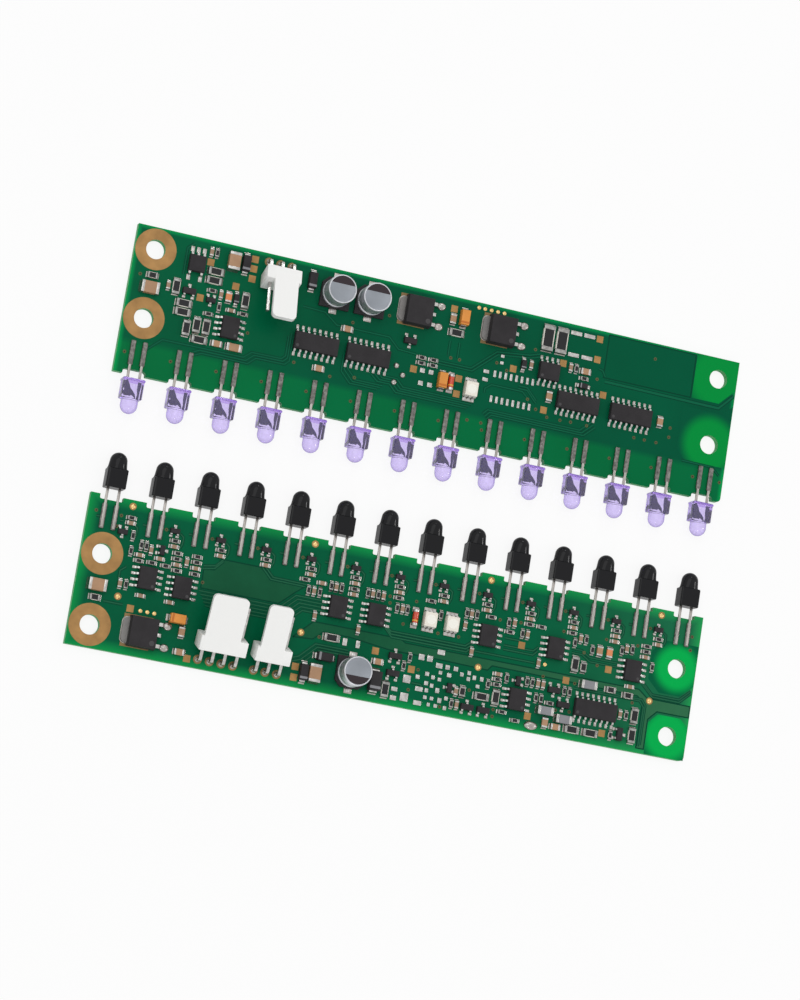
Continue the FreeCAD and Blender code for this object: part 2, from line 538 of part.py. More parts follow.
def header(board, centre, ways, label):
    """A tilted header: base, locking plate with its ridge, and square pins bent down into the board."""
    name = label
    tilt = Rotation(Vector(1, 0, 0), size("header_tilt"))
    foot = Vector(0, size("header_setback"), 0)
    width = f"{ways} * sizes.header_pitch"
    plate_width = f"({ways - 1} * sizes.header_pitch + sizes.header_plate_extra)"

    base = doc.addObject("Part::Box", f"{name}_base")
    bind(base, Length=width, Width="sizes.header_depth", Height="sizes.header_height")
    left = -ways * size("header_pitch") / 2
    base.Placement = Placement(foot + tilt.multVec(Vector(left, 0, 0)), tilt)

    reach = "(sizes.header_depth + sizes.header_plate_reach)"
    plate = doc.addObject("Part::Box", f"{name}_plate")
    bind(plate, Length=plate_width, Width=reach, Height="sizes.header_plate")
    tip = size("header_depth") + size("header_plate_reach")
    cut_plate = chamfered(f"{name}_plate_cut", plate,
                          lambda middle, run: middle.y > tip - 0.01 and abs(run.z) > 0.01,
                          size("header_plate_corner"))
    plate_left = left + size("header_plate_inset")
    plate_low = size("header_height") - size("header_plate")
    cut_plate.Placement = Placement(foot + tilt.multVec(Vector(plate_left, 0, plate_low)), tilt)

    ridge = doc.addObject("Part::Box", f"{name}_ridge")
    bind(ridge, Length=plate_width, Width="sizes.ridge_length", Height="sizes.ridge_height")
    ridge_tip = tip - size("ridge_offset")
    ridge_cut = chamfered(f"{name}_ridge_cut", ridge,
                          lambda middle, run: (middle.y > size("ridge_length") - 0.01 and middle.z < 0.01
                                               and abs(run.x) > 0.01),
                          size("ridge_height") * 0.9)
    ridge_place = Vector(plate_left, ridge_tip - size("ridge_length"), plate_low - size("ridge_height"))
    ridge_cut.Placement = Placement(foot + tilt.multVec(ridge_place), tilt)

    moulding = doc.addObject("Part::MultiFuse", f"{name}_moulding")
    moulding.Shapes = [base, cut_plate, ridge_cut]
    moulding.Refine = True

    angle = math.radians(size("header_tilt"))
    pin = size("header_pin")
    rise = size("header_pin_height")
    behind = (size("header_setback") - rise * math.sin(angle)) / math.cos(angle)
    bend = rise * math.cos(angle) - behind * math.sin(angle)
    run_length = behind + size("header_depth") + size("header_pin_reach") + pin / 2
    pins = []
    for k in range(ways):
        x = pin_offset(ways, k) * size("header_pitch") - pin / 2
        run = doc.addObject("Part::Box", f"{name}_run_{k}")
        bind(run, Length="sizes.header_pin", Height="sizes.header_pin")
        run.Width = run_length
        run.Placement = Placement(Vector(x, 0, bend) + tilt.multVec(Vector(0, -pin / 2, -pin / 2)), tilt)
        tail = doc.addObject("Part::Box", f"{name}_tail_{k}")
        bind(tail, Length="sizes.header_pin", Width="sizes.header_pin")
        tail.Height = board.top + bend
        tail.Placement = Placement(Vector(x, -pin / 2, -board.top), Rotation())
        bent = doc.addObject("Part::Fuse", f"{name}_pin_{k}")
        bent.Base = run
        bent.Tool = tail
        bent.Refine = True
        pins.append(bent)
    drill = doc.addObject("Part::Compound", f"{name}_drill")
    drill.Links = pins
    housing = doc.addObject("Part::Cut", f"{name}_drilled")
    housing.Base = moulding
    housing.Tool = drill
    pin_row = doc.addObject("Part::Compound", f"{name}_pin_row")
    pin_row.Links = pins
    doc.recompute()

    back = board.side * (board.beam_edge + board.width - size("header_edge"))
    turn = 180 if board.side > 0 else 0
    middle = float(base.evalExpression(centre)) - board.length / 2
    seat = Placement(Vector(middle, back, board.top), Rotation(Vector(0, 0, 1), turn))
    housing.Placement = seat
    pin_row.Placement = seat
    node(housing, f"{label}_housing")
    node(pin_row, f"{label}_pins")
    return seat


# Capacitor cans, regulators and chips

def capacitor_cans(board, places, plural):
    """Electrolytic cans, each on a square base with two cut corners and two tabs."""
    can = doc.addObject("Part::Cylinder", f"{board.name}_can")
    bind(can, Radius="sizes.can_diameter / 2", Height="sizes.can_height")
    can.setExpression("Placement.Base.z", "sizes.can_base_height")
    square = box(f"{board.name}_can_square", "sizes.can_base", "sizes.can_base", "sizes.can_base_height")
    toward_back = board.side
    base = chamfered(f"{board.name}_can_foot", square,
                     lambda middle, run: middle.y * toward_back > 0.01 and abs(run.z) > 0.01,
                     size("can_base_corner"))
    tab = box(f"{board.name}_can_tab", "sizes.can_tab_width", "sizes.can_tab_reach", "sizes.can_tab_thickness")
    scatter(f"{board.name}_capacitor_can{plural}", board, (can, places))
    scatter(f"{board.name}_capacitor_base{plural}", board, (base, places))
    offset = (size("can_base") + size("can_tab_reach")) / 2
    tabs = []
    for place in places:
        for hand in (-1, 1):
            tabs.append(Placement(board.spot(*place) + Vector(0, hand * offset, 0), Rotation()))
    group(f"{board.name}_capacitor_tabs", copies(tab, tabs))


def slanted_lead(name, width, thickness, reach, height):
    """A lead that leaves a body at a height and comes down to the board, outward along +X."""
    outline = [Vector(0, 0, height), Vector(0, 0, height + thickness), Vector(reach, 0, thickness), Vector(reach, 0, 0)]
    face = Part.Face(Part.makePolygon(outline + outline[:1]))
    lead = doc.addObject("Part::Feature", name)
    lead.Shape = face.extrude(Vector(0, width, 0))
    lead.Placement = Placement(Vector(0, -width / 2, 0), Rotation())
    return lead


def regulators(board, places, ending):
    """Regulators with a tab on the left, two leads on the right and a cut stub between them."""
    block = sized_box(f"{board.name}_regulator_block", "regulator")
    end = size("regulator_length") / 2
    body = chamfered(f"{board.name}_regulator_moulding", block,
                     lambda middle, run: (middle.x < 0.01 - end and middle.z > size("regulator_height") - 0.01
                                          and abs(run.y) > 0.01),
                     size("regulator_bevel"))
    tab = box(f"{board.name}_tab", "sizes.tab_reach", "sizes.tab_width", "sizes.tab_thickness")
    height = size("regulator_height") / 2
    lead = slanted_lead(f"{board.name}_regulator_lead", size("regulator_lead_width"), size("tab_thickness"),
                        size("regulator_lead_reach"), height - size("tab_thickness"))
    stub = box(f"{board.name}_stub", "sizes.stub_reach", "sizes.regulator_lead_width", "sizes.tab_thickness")
    scatter(f"{board.name}_regulator_{ending}", board, (body, places))
    tabs, leads, stubs = [], [], []
    for place in places:
        spot = board.spot(*place)
        tabs.append(Placement(spot - Vector(end + size("tab_reach") / 2, 0, 0), Rotation()))
        stubs.append(Placement(spot + Vector(end + size("stub_reach") / 2, 0, height - size("tab_thickness")),
                               Rotation()))
        for hand in (-1, 1):
            leads.append(Placement(spot + Vector(end, hand * size("regulator_lead_pitch"), 0), Rotation()))
    group(f"{board.name}_regulator_tab{'s' if len(places) > 1 else ''}", copies(tab, tabs))
    group(f"{board.name}_regulator_leads", copies(lead, leads) + copies(stub, stubs))


def chip_body(name, pins):
    """A chip with a given count of pins along each of its two long sides."""
    block = box(f"{name}_block", f"{pins - 1} * sizes.chip_pitch + 2 * sizes.chip_end",
                "sizes.chip_width", "sizes.chip_height")
    side = size("chip_width") / 2
    return chamfered(f"{name}_moulding", block,
                     lambda middle, run: (middle.y < 0.01 - side and middle.z > size("chip_height") - 0.01
                                          and abs(run.x) > 0.01),
                     size("chip_bevel"))


def chip_pins(board, families, label):
    """The bent pins of all chips of a board."""
    pin = slanted_lead(f"{board.name}_chip_pin", size("chip_pin_width"), size("chip_pin_thickness"),
                       size("chip_pin_reach"), size("chip_pin_height"))
    doc.recompute()
    side = size("chip_width") / 2
    seats = []
    for pins, places in families:
        for place in places:
            for k in range(pins):
                x = (k - (pins - 1) / 2) * size("chip_pitch")
                for hand in (-1, 1):
                    local = Placement(Vector(x, hand * side, 0), Rotation(Vector(0, 0, 1), hand * 90))
                    seats.append(board.seat(*place).multiply(local))
    group(label, copies(pin, seats))


def channel_places(offset):
    """A place to the right of each sensor but the first and the last."""
    dx, y = offset
    beams = range(1, int(size("beam_count")) - 1)
    pitch = size("beam_pitch") * LAYOUT_LENGTH / receiver.length
    first = size("end_margin") * LAYOUT_LENGTH / receiver.length
    return [(first + k * pitch + dx, y, ALONG) for k in beams]


# The two boards and their beam rows

emitter_header = beside_can(EMITTER_CANS, EMITTER_HEADER_TO_CAN)
narrow_header = beside_can(RECEIVER_CANS, RECEIVER_HEADER_TO_CAN)
wide_header = beside_header(narrow_header, 3, 4)
circuit_board(emitter, [(emitter_header, 3)])
circuit_board(receiver, [(wide_header, 4), (narrow_header, 3)])
beam_row(emitter, "lamp", "emitter_lamp_lenses", "emitter_lamp_leads")
beam_row(receiver, "sensor", "receiver_sensor_lenses", "receiver_sensor_leads")

header(emitter, emitter_header, 3, "emitter_header")
header(receiver, wide_header, 4, "receiver_wide_header")
header(receiver, narrow_header, 3, "receiver_narrow_header")
capacitor_cans(emitter, EMITTER_CANS, "s")
capacitor_cans(receiver, RECEIVER_CANS, "")
regulators(emitter, EMITTER_REGULATORS, "bodies")
regulators(receiver, RECEIVER_REGULATORS, "body")

# Chips and small parts

logic = chip_body("logic", 8)
eight_pin = chip_body("eight_pin", 4)
transistor = sized_box("transistor_body", "transistor")
switch = sized_box("switch_body", "switch")
booster = box("booster_body", "sizes.booster_length", "sizes.booster_length", "sizes.booster_height")
small_chip = sized_box("small_chip_body", "small_chip")
medium_chip = sized_box("medium_chip_body", "medium_chip")
large_chip = sized_box("large_chip_body", "large_chip")
bulk = sized_box("bulk_body", "bulk")
power = sized_box("power_body", "power")
tantalum = sized_box("tantalum_body", "tantalum")
block_capacitor = sized_box("block_body", "block")
rectifier = sized_box("rectifier_body", "rectifier")
suppressor = sized_box("suppressor_body", "suppressor")
signal_diode = sized_box("signal_diode_body", "signal_diode")
status = sized_box("status_body", "status")

glass = doc.addObject("Part::Prism", "glass_diode_body")
glass.Polygon = 8
bind(glass, Circumradius="sizes.glass_diode_diameter / 2", Height="sizes.glass_diode_length")
lying = Rotation(Vector(0, 0, 1), Vector(0, 1, 0)).multiply(Rotation(Vector(0, 0, 1), 22.5))
flat_height = size("glass_diode_diameter") / 2 * math.cos(math.radians(22.5))
glass.Placement = Placement(Vector(0, -size("glass_diode_length") / 2, flat_height), lying)

scatter("emitter_logic_chips", emitter, (logic, EMITTER_LOGIC))
scatter("emitter_driver_chips", emitter, (eight_pin, EMITTER_DRIVERS))
chip_pins(emitter, [(8, EMITTER_LOGIC), (4, EMITTER_DRIVERS)], "emitter_chip_pins")
scatter("emitter_transistors", emitter, (transistor, EMITTER_TRANSISTORS), (switch, EMITTER_SWITCHES),
        (booster, EMITTER_BOOSTERS))
scatter("emitter_power_resistors", emitter, (power, EMITTER_POWER))
scatter("emitter_resistors", emitter, (small_chip, EMITTER_SMALL_RESISTORS),
        (medium_chip, EMITTER_MEDIUM_RESISTORS), (large_chip, EMITTER_LARGE_RESISTORS))
scatter("emitter_ceramic_capacitors", emitter, (small_chip, EMITTER_SMALL_CAPACITORS),
        (medium_chip, EMITTER_MEDIUM_CAPACITORS), (large_chip, EMITTER_LARGE_CAPACITORS), (bulk, EMITTER_BULK))
scatter("emitter_tantalum_capacitors", emitter, (tantalum, EMITTER_TANTALUMS))
scatter("emitter_diodes", emitter, (rectifier, EMITTER_RECTIFIERS), (signal_diode, EMITTER_SIGNAL_DIODES))
scatter("emitter_glass_diode", emitter, (glass, EMITTER_GLASS_DIODES))
scatter("emitter_status_lamp", emitter, (status, EMITTER_STATUS))

scatter("receiver_amplifier_chips", receiver, (eight_pin, RECEIVER_AMPLIFIERS))
scatter("receiver_logic_chip", receiver, (logic, RECEIVER_LOGIC))
chip_pins(receiver, [(4, RECEIVER_AMPLIFIERS), (8, RECEIVER_LOGIC)], "receiver_chip_pins")
scatter("receiver_transistors", receiver, (transistor, RECEIVER_TRANSISTORS),
        (switch, RECEIVER_SWITCHES + channel_places(CHANNEL_SWITCH)))
scatter("receiver_resistors", receiver,
        (small_chip, RECEIVER_SMALL_RESISTORS + channel_places(CHANNEL_RESISTOR)),
        (medium_chip, RECEIVER_MEDIUM_RESISTORS), (large_chip, RECEIVER_LARGE_RESISTORS))
scatter("receiver_ceramic_capacitors", receiver,
        (small_chip, RECEIVER_SMALL_CAPACITORS + channel_places(CHANNEL_CAPACITOR)),
        (medium_chip, RECEIVER_MEDIUM_CAPACITORS), (bulk, RECEIVER_BULK))
scatter("receiver_tantalum_capacitor", receiver, (tantalum, RECEIVER_TANTALUMS))
scatter("receiver_block_capacitors", receiver, (block_capacitor, RECEIVER_BLOCKS))
scatter("receiver_diodes", receiver, (rectifier, RECEIVER_RECTIFIERS), (suppressor, RECEIVER_SUPPRESSORS))
scatter("receiver_glass_diode", receiver, (glass, RECEIVER_GLASS_DIODES))
scatter("receiver_status_lamps", receiver, (status, RECEIVER_STATUS))

# Check every object, then write one file for each sub-part
doc.recompute()
for thing in doc.Objects:
    if {"Invalid", "Error"} & set(thing.State):
        raise RuntimeError(f"{thing.Label} failed: {thing.State}")
for thing in nodes:
    if thing.Shape.isNull() or not thing.Shape.isValid() or not thing.Shape.Solids:
        raise RuntimeError(f"{thing.Label} has no sound solid")

os.makedirs("parts", exist_ok=True)
for thing in nodes:
    thing.Shape.exportStep(f"parts/{thing.Label}.step")
    print(f"{thing.Label}: {len(thing.Shape.Solids)} solids, {thing.Shape.Volume:.2f} cubic mm")
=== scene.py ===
import json
import math
from collections import namedtuple

import bmesh
import bpy
from bpy.props import FloatProperty, FloatVectorProperty, PointerProperty
from mathutils import Matrix, Vector
from mathutils.geometry import tessellate_polygon


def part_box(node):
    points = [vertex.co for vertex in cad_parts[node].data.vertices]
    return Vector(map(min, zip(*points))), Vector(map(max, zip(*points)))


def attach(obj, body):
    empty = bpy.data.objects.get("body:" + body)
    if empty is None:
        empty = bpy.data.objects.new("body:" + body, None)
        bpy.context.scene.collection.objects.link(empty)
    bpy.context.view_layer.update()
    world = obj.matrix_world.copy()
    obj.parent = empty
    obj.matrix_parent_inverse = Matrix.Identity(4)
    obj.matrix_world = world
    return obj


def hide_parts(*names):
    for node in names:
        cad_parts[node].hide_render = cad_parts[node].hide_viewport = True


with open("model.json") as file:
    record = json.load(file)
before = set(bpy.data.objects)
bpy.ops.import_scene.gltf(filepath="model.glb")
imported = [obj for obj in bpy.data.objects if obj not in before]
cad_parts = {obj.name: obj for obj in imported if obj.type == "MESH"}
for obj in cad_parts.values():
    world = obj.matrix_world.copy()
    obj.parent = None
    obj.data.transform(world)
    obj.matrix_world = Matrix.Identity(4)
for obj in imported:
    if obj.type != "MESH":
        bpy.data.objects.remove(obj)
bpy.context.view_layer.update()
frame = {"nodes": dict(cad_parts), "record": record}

bl_info = {
    "name": "Area sensor pair",
    "version": (1, 0, 0),
    "blender": (4, 5, 0),
    "location": "3D View > Sidebar > Area sensor",
    "description": "Dresses an emitter board and a receiver board with their finishes and fine parts",
    "category": "Object",
}

MM = 0.001
UP = Vector((0, 0, 1))
BOARDS = ("emitter", "receiver")


# Properties

def srgb(red, green, blue):
    """A screen colour of 0 to 255 a channel, as the linear values that a shader takes."""
    shares = (channel / 255 for channel in (red, green, blue))
    return tuple(share / 12.92 if share <= 0.04045 else ((share + 0.055) / 1.055) ** 2.4 for share in shares)


def colour(name, text, *screen):
    return FloatVectorProperty(name=name, description=text, subtype="COLOR", size=3, min=0, max=1,
                               default=srgb(*screen))


def length(name, text, millimetres):
    return FloatProperty(name=name, description=text, default=millimetres * MM, min=0, unit="LENGTH",
                         precision=5)


def power(name, text, watts):
    return FloatProperty(name=name, description=text, default=watts, min=0, unit="POWER")


class AreaSensorColours(bpy.types.PropertyGroup):
    """Colours of the boards and of what is on them."""

    emitter_mask: colour("Emitter mask", "Solder mask of the emitter board", 0, 88, 59)
    emitter_light: colour("Emitter light", "Mask along the lamps of the emitter board", 0, 110, 62)
    emitter_rim: colour("Emitter rim", "Mask along the edges of the emitter board", 0, 142, 76)
    receiver_mask: colour("Receiver mask", "Solder mask of the receiver board", 0, 94, 61)
    receiver_light: colour("Receiver light", "Mask at the far end of the receiver board", 28, 108, 72)
    receiver_rim: colour("Receiver rim", "Mask along the edges of the receiver board", 12, 146, 74)
    field: colour("Copper field", "Mask over wide copper on the emitter", 0, 88, 59)
    band: colour("Copper band", "Mask over wide copper on the receiver", 24, 90, 60)
    band_light: colour("Band light", "Mask over wide copper at the far end of the receiver", 50, 110, 75)
    laminate: colour("Bare laminate", "Mask with no copper below it, on the receiver", 0, 178, 80)
    dim_laminate: colour("Dim laminate", "Mask with no copper below it, on the emitter", 0, 145, 62)
    edge: colour("Board edge", "Cut edge of the laminate", 92, 170, 110)
    emitter_trace: colour("Emitter trace", "Mask over a trace of the emitter", 12, 99, 69)
    receiver_trace: colour("Receiver trace", "Mask over a trace of the receiver", 36, 101, 71)
    trace_gap: colour("Trace gap", "Mask with no copper below it, beside a trace", 0, 68, 47)
    gold: colour("Gold plate", "Rings and test pads", 163, 125, 77)
    worn_gold: colour("Worn gold", "Copper that shows round a regulator or a header pin", 138, 112, 74)
    bright_gold: colour("Bright gold", "Plated holes", 226, 190, 128)
    via: colour("Via", "Ring of a masked via", 92, 92, 58)
    tin: colour("Tin", "Leads, pins and end caps", 186, 184, 181)
    resistor_end: colour("Resistor end", "End caps of chip resistors", 150, 149, 146)
    lead_wire: colour("Lead wire", "Leads of lamps and sensors", 168, 163, 158)
    heat_plate: colour("Heat plate", "Metal plate of a regulator", 126, 124, 122)
    solder: colour("Solder", "Solder on pads and pins", 166, 161, 156)
    dull_solder: colour("Dull solder", "Solder along the leads of lamps and sensors", 114, 112, 108)
    lamp: colour("Lamp epoxy", "Lenses of the emitter", 222, 208, 255)
    # The flanges are the lamp epoxy; their deeper violet is painted shade
    lamp_flange: colour("Lamp flange", "Flanges of the lamps, by their leads", 172, 132, 236)
    # Painted shade along the outline of the lamp lenses, set by the angle of the surface
    lamp_edge: colour("Lamp edge", "Lenses of the emitter, along their outline", 98, 62, 176)
    lead_frame: colour("Lead frame", "Plates inside a lamp", 18, 10, 66)
    sensor: colour("Sensor epoxy", "Lenses of the receiver", 20, 20, 23)
    nylon: colour("Header nylon", "Plug headers", 252, 252, 250)
    can: colour("Can", "Capacitor cans", 200, 201, 206)
    can_top: colour("Can top", "Top face of a can", 142, 147, 154)
    can_mark: colour("Can mark", "Polarity mark on a can", 54, 46, 50)
    moulding: colour("Moulding", "Chip and transistor bodies", 52, 50, 52)
    moulding_mark: colour("Moulding mark", "Dimple beside a chip's first pin", 66, 64, 66)
    glaze: colour("Resistor glaze", "Top of a chip resistor", 40, 40, 42)
    alumina: colour("Alumina", "Sides of a chip resistor", 226, 222, 212)
    ceramic: colour("Capacitor ceramic", "Chip capacitors", 176, 138, 106)
    small_ceramic: colour("Small ceramic", "Small chip capacitors", 158, 130, 108)
    orange_ceramic: colour("Orange ceramic", "Two chip capacitors", 222, 140, 92)
    grey_ceramic: colour("Grey ceramic", "Block capacitors", 138, 138, 142)
    tantalum: colour("Tantalum", "Moulded tantalum capacitors", 226, 148, 66)
    tantalum_band: colour("Tantalum band", "Polarity band of a tantalum capacitor", 196, 112, 42)
    glass: colour("Diode glass", "Glass diodes", 206, 66, 34)
    glass_band: colour("Diode band", "Band of a glass diode", 226, 168, 60)
    status: colour("Status lamp", "Status lamps", 244, 238, 226)
    status_lens: colour("Status lens", "Window of a status lamp", 252, 250, 240)


class AreaSensorSizes(bpy.types.PropertyGroup):
    """Sizes of what the solids leave out."""

    emitter_notch_radius: length("Emitter notch radius", "Inner corners of the emitter's notches", 0.7)
    receiver_notch_radius: length("Receiver notch radius", "Inner corners of the receiver's notches", 0.35)
    far_corner: length("Far corner", "Worn corner at the far end of a board", 0.9)
    field_relief: length("Field relief", "Mask over wide copper, above the bare mask", 0.012)
    trace_relief: length("Trace relief", "Mask over a trace, above the bare mask", 0.024)
    plate_relief: length("Plate relief", "Bare plated copper, above the bare mask", 0.04)
    trace_width: length("Trace width", "Masked traces", 0.26)
    trace_clearance: length("Trace clearance", "Bare strip on each side of a trace", 0.17)
    ring_diameter: length("Ring diameter", "Gold ring round a mounting hole", 8.9)
    via_diameter: length("Via diameter", "Masked vias", 0.75)
    plated_diameter: length("Plated hole", "Gold ring of a plated hole", 1.5)
    test_pad: length("Test pad", "Side of a square test pad", 1.5)
    strip_width: length("Solder strip width", "Solder along a lamp or sensor lead", 1.05)
    strip_length: length("Solder strip length", "Solder along a lamp or sensor lead", 5.3)
    emitter_strip: length("Lamp solder height", "Solder along a lamp lead", 0.58)
    receiver_strip: length("Sensor solder height", "Solder along a sensor lead", 0.44)
    cap_overlap: length("End cap overlap", "End cap past the body of a chip", 0.02)
    fillet: length("Solder fillet", "Solder past the end of a chip", 0.34)
    pin_thickness: length("Pin thickness", "Bent pins of chips", 0.2)
    body_bevel: length("Body bevel", "Rounded edges of moulded bodies", 0.07)
    header_bevel: length("Header bevel", "Rounded edges of a header", 0.16)


class AreaSensorStage(bpy.types.PropertyGroup):
    """Camera, floor and lights."""

    camera_location: FloatVectorProperty(name="Camera", description="Place of the camera",
                                         subtype="TRANSLATION", unit="LENGTH",
                                         default=(-0.1857, -0.1114, 0.6190))
    camera_turn: FloatVectorProperty(name="Camera turn", description="Turn of the camera", subtype="EULER",
                                     default=tuple(math.radians(angle) for angle in (6.92, -17.77, 9.44)))
    lens: FloatProperty(name="Lens", description="Focal length in millimetres", default=110, min=10)
    floor: colour("Floor", "Plain pale floor", 250, 250, 250)
    floor_glow: FloatProperty(name="Floor glow", description="Share of the floor that shows as plain white",
                              subtype="FACTOR", default=0.86, min=0, max=1)
    sky: FloatProperty(name="Sky", description="Strength of the light from all round", default=0.98, min=0)
    key: power("Key lamp", "Power of the main soft box", 0.9)
    side: power("Side lamp", "Power of the side soft box", 0.3)
    glint: power("Glint lamps", "Power of each narrow soft box", 0.45)


def tint(name):
    return (*getattr(bpy.context.scene.area_sensor_colours, name), 1.0)


def size_of(name):
    """A size of the property group, in millimetres."""
    return getattr(bpy.context.scene.area_sensor_sizes, name) / MM


# Finishes: colour, metallic, roughness, sheen, and how strongly grain and painted reflection vary the colour
Finish = namedtuple("Finish", "colour metallic roughness gloss grain")
FINISHES = {
    "emitter_mask": Finish("emitter_mask", 0, 0.3, 0.05, 0.1),
    "receiver_mask": Finish("receiver_mask", 0, 0.3, 0.05, 0.1),
    "masked_field": Finish("field", 0, 0.3, 0.05, 0.05),
    "masked_band": Finish("band", 0, 0.32, 0.05, 0.05),
    "emitter_lower_laminate": Finish("dim_laminate", 0, 0.34, 0.05, 0),
    "emitter_upper_laminate": Finish("dim_laminate", 0, 0.34, 0.05, 0),
    "receiver_lower_laminate": Finish("laminate", 0, 0.34, 0.05, 0),
    "receiver_upper_laminate": Finish("laminate", 0, 0.34, 0.05, 0),
    "board_edge": Finish("edge", 0, 0.6, 0.2, 0.15),
    "emitter_trace": Finish("emitter_trace", 0, 0.28, 0.06, 0),
    "receiver_trace": Finish("receiver_trace", 0, 0.28, 0.06, 0),
    "trace_gap": Finish("trace_gap", 0, 0.28, 0.06, 0),
    "gold_plate": Finish("gold", 0.55, 0.5, 0.3, 0.16),
    "bright_gold": Finish("bright_gold", 0.8, 0.25, 0.4, 0.1),
    "worn_gold": Finish("worn_gold", 0.4, 0.5, 0.3, 0.2),
    "via_ring": Finish("via", 0.2, 0.5, 0.2, 0),
    # A via's bore is a near-black disc: painted shade in place of the hole
    "dark_hole": Finish("moulding", 0, 0.8, 0.1, 0),
    # On tin, end caps and solder the grain is painted reflection: light and dark in place of uneven
    # reflections
    "tin": Finish("tin", 0.9, 0.27, 0.5, 0.25),
    "resistor_end": Finish("resistor_end", 0.9, 0.3, 0.5, 0.3),
    "lead_wire": Finish("lead_wire", 0.9, 0.35, 0.5, 0.15),
    "heat_plate": Finish("heat_plate", 0.6, 0.45, 0.4, 0.1),
    "solder": Finish("solder", 0.9, 0.24, 0.5, 0.25),
    "dull_solder": Finish("dull_solder", 0.75, 0.45, 0.5, 0.5),
    "lamp_epoxy": Finish("lamp", 0, 0.05, 0.2, 0),
    # Painted shade: the flange is a deeper violet copy of the lamp epoxy
    "lamp_flange": Finish("lamp_flange", 0, 0.05, 0.5, 0),
    "lead_frame": Finish("lead_frame", 0, 0.5, 0.1, 0),
    "sensor_epoxy": Finish("sensor", 0, 0.3, 0.02, 0),
    "header_nylon": Finish("nylon", 0, 0.45, 0.3, 0),
    "can_aluminium": Finish("can", 0.8, 0.42, 0.5, 0.05),
    "can_top": Finish("can_top", 0.5, 0.45, 0.4, 0.05),
    "can_mark": Finish("can_mark", 0.1, 0.5, 0.2, 0),
    "moulding": Finish("moulding", 0, 0.5, 0.1, 0.12),
    "moulding_mark": Finish("moulding_mark", 0, 0.4, 0.3, 0),
    "resistor_glaze": Finish("glaze", 0, 0.3, 0.2, 0),
    "alumina": Finish("alumina", 0, 0.6, 0.2, 0),
    "capacitor_ceramic": Finish("ceramic", 0, 0.4, 0.3, 0.08),
    "small_ceramic": Finish("small_ceramic", 0, 0.4, 0.3, 0.08),
    "orange_ceramic": Finish("orange_ceramic", 0, 0.4, 0.3, 0.08),
    "grey_ceramic": Finish("grey_ceramic", 0, 0.45, 0.3, 0.08),
    "tantalum": Finish("tantalum", 0, 0.4, 0.3, 0.06),
    "tantalum_band": Finish("tantalum_band", 0, 0.4, 0.3, 0),
    "diode_glass": Finish("glass", 0, 0.08, 0.6, 0),
    "diode_band": Finish("glass_band", 0, 0.2, 0.5, 0),
    "status_resin": Finish("status", 0, 0.35, 0.3, 0),
    "status_lens": Finish("status_lens", 0, 0.2, 0.4, 0),
}
# Clear lenses: share of the light that passes, and its bending
CLEAR = ("lamp_epoxy", "lamp_flange")
CLEAR_SHARE = 0.88
CLEAR_IOR = 1.3
# Painted shade that deepens a clear lens where it turns away: blend of the angle, and where the change starts
# and ends
TURN_BLEND = 0.5
TURN_START, TURN_END = 0.25, 0.8
# Polished lenses: weight of the clear coat
POLISH = {"lamp_epoxy": 0.4, "lamp_flange": 0.6, "sensor_epoxy": 0.25}
COAT_ROUGHNESS = 0.06
COAT_IOR = 1.6
# Uneven surfaces: scale of the noise and its strength
BUMPS = {"dull_solder": (2600, 0.9), "solder": (900, 0.35)}
BUMP_DEPTH = 0.2
# Noise that varies a colour: its scale on each finish, and the values that most of it lies between
# On tin, end caps and solder this noise is painted reflection
GRAIN_AND_REFLECTION_SCALE = {"masked_field": 60, "dull_solder": 1300, "solder": 900, "tin": 1400, "resistor_end": 1400}
COMMON_GRAIN_SCALE = 400
GRAIN_DETAIL = 3
MOTTLE_SCALE = 45
NOISE_LOW, NOISE_HIGH = 0.3, 0.7
# Masks that are brighter along the edges of a board: board, where the change starts and ends, in
# millimetres, and whether the edge with the notches is brighter too
RIMS = {"emitter_mask": ("emitter", 0.15, 1.0, False), "receiver_mask": ("receiver", 0.2, 2.4, True)}
# Masks that are lighter in parts of a board: board, colour there, and for each part how far the colour
# changes, the axis, and where the change starts and ends, in millimetres on the board
LIGHTER = {
    "emitter_mask": ("emitter", "emitter_light", [(1.0, "Y", 24.4, 25.8), (0.2, "X", 44, 30)]),
    "receiver_mask": ("receiver", "receiver_light", [(1.0, "X", 100, 136)]),
    "masked_band": ("receiver", "band_light", [(1.0, "X", 66, 134)]),
}
# Laminate that darkens to the mask away from a mounting hole: board, number of the hole, and where the
# change starts and ends, in millimetres from the middle of the hole
HALOS = {
    "emitter_lower_laminate": ("emitter", 2, 4.6, 7.6),
    "emitter_upper_laminate": ("emitter", 3, 5.0, 9.5),
    "receiver_lower_laminate": ("receiver", 2, 3.8, 7.0),
    "receiver_upper_laminate": ("receiver", 3, 3.6, 6.3),
}


def set_inputs(tree, node, inputs):
    """Give inputs of a node their values, or the outputs of other nodes."""
    for name, given in inputs.items():
        if isinstance(given, bpy.types.NodeSocket):
            tree.links.new(given, node.inputs[name])
        else:
            node.inputs[name].default_value = given


def add_node(tree, kind, inputs=None, operation=None):
    made = tree.nodes.new(f"ShaderNode{kind}")
    if operation:
        made.operation = operation
    set_inputs(tree, made, inputs or {})
    return made


def ramp(tree, share, first, last, start=0, end=1, interpolation="LINEAR"):
    """A colour that goes from a first to a last one with a share."""
    made = add_node(tree, "ValToRGB", {"Fac": share})
    made.color_ramp.interpolation = interpolation
    for stop, place, shade in zip(made.color_ramp.elements, (start, end), (first, last)):
        stop.position = place
        stop.color = shade
    return made.outputs["Color"]


def own_place(tree):
    """Places in the object's own space."""
    return add_node(tree, "TexCoord").outputs["Object"]


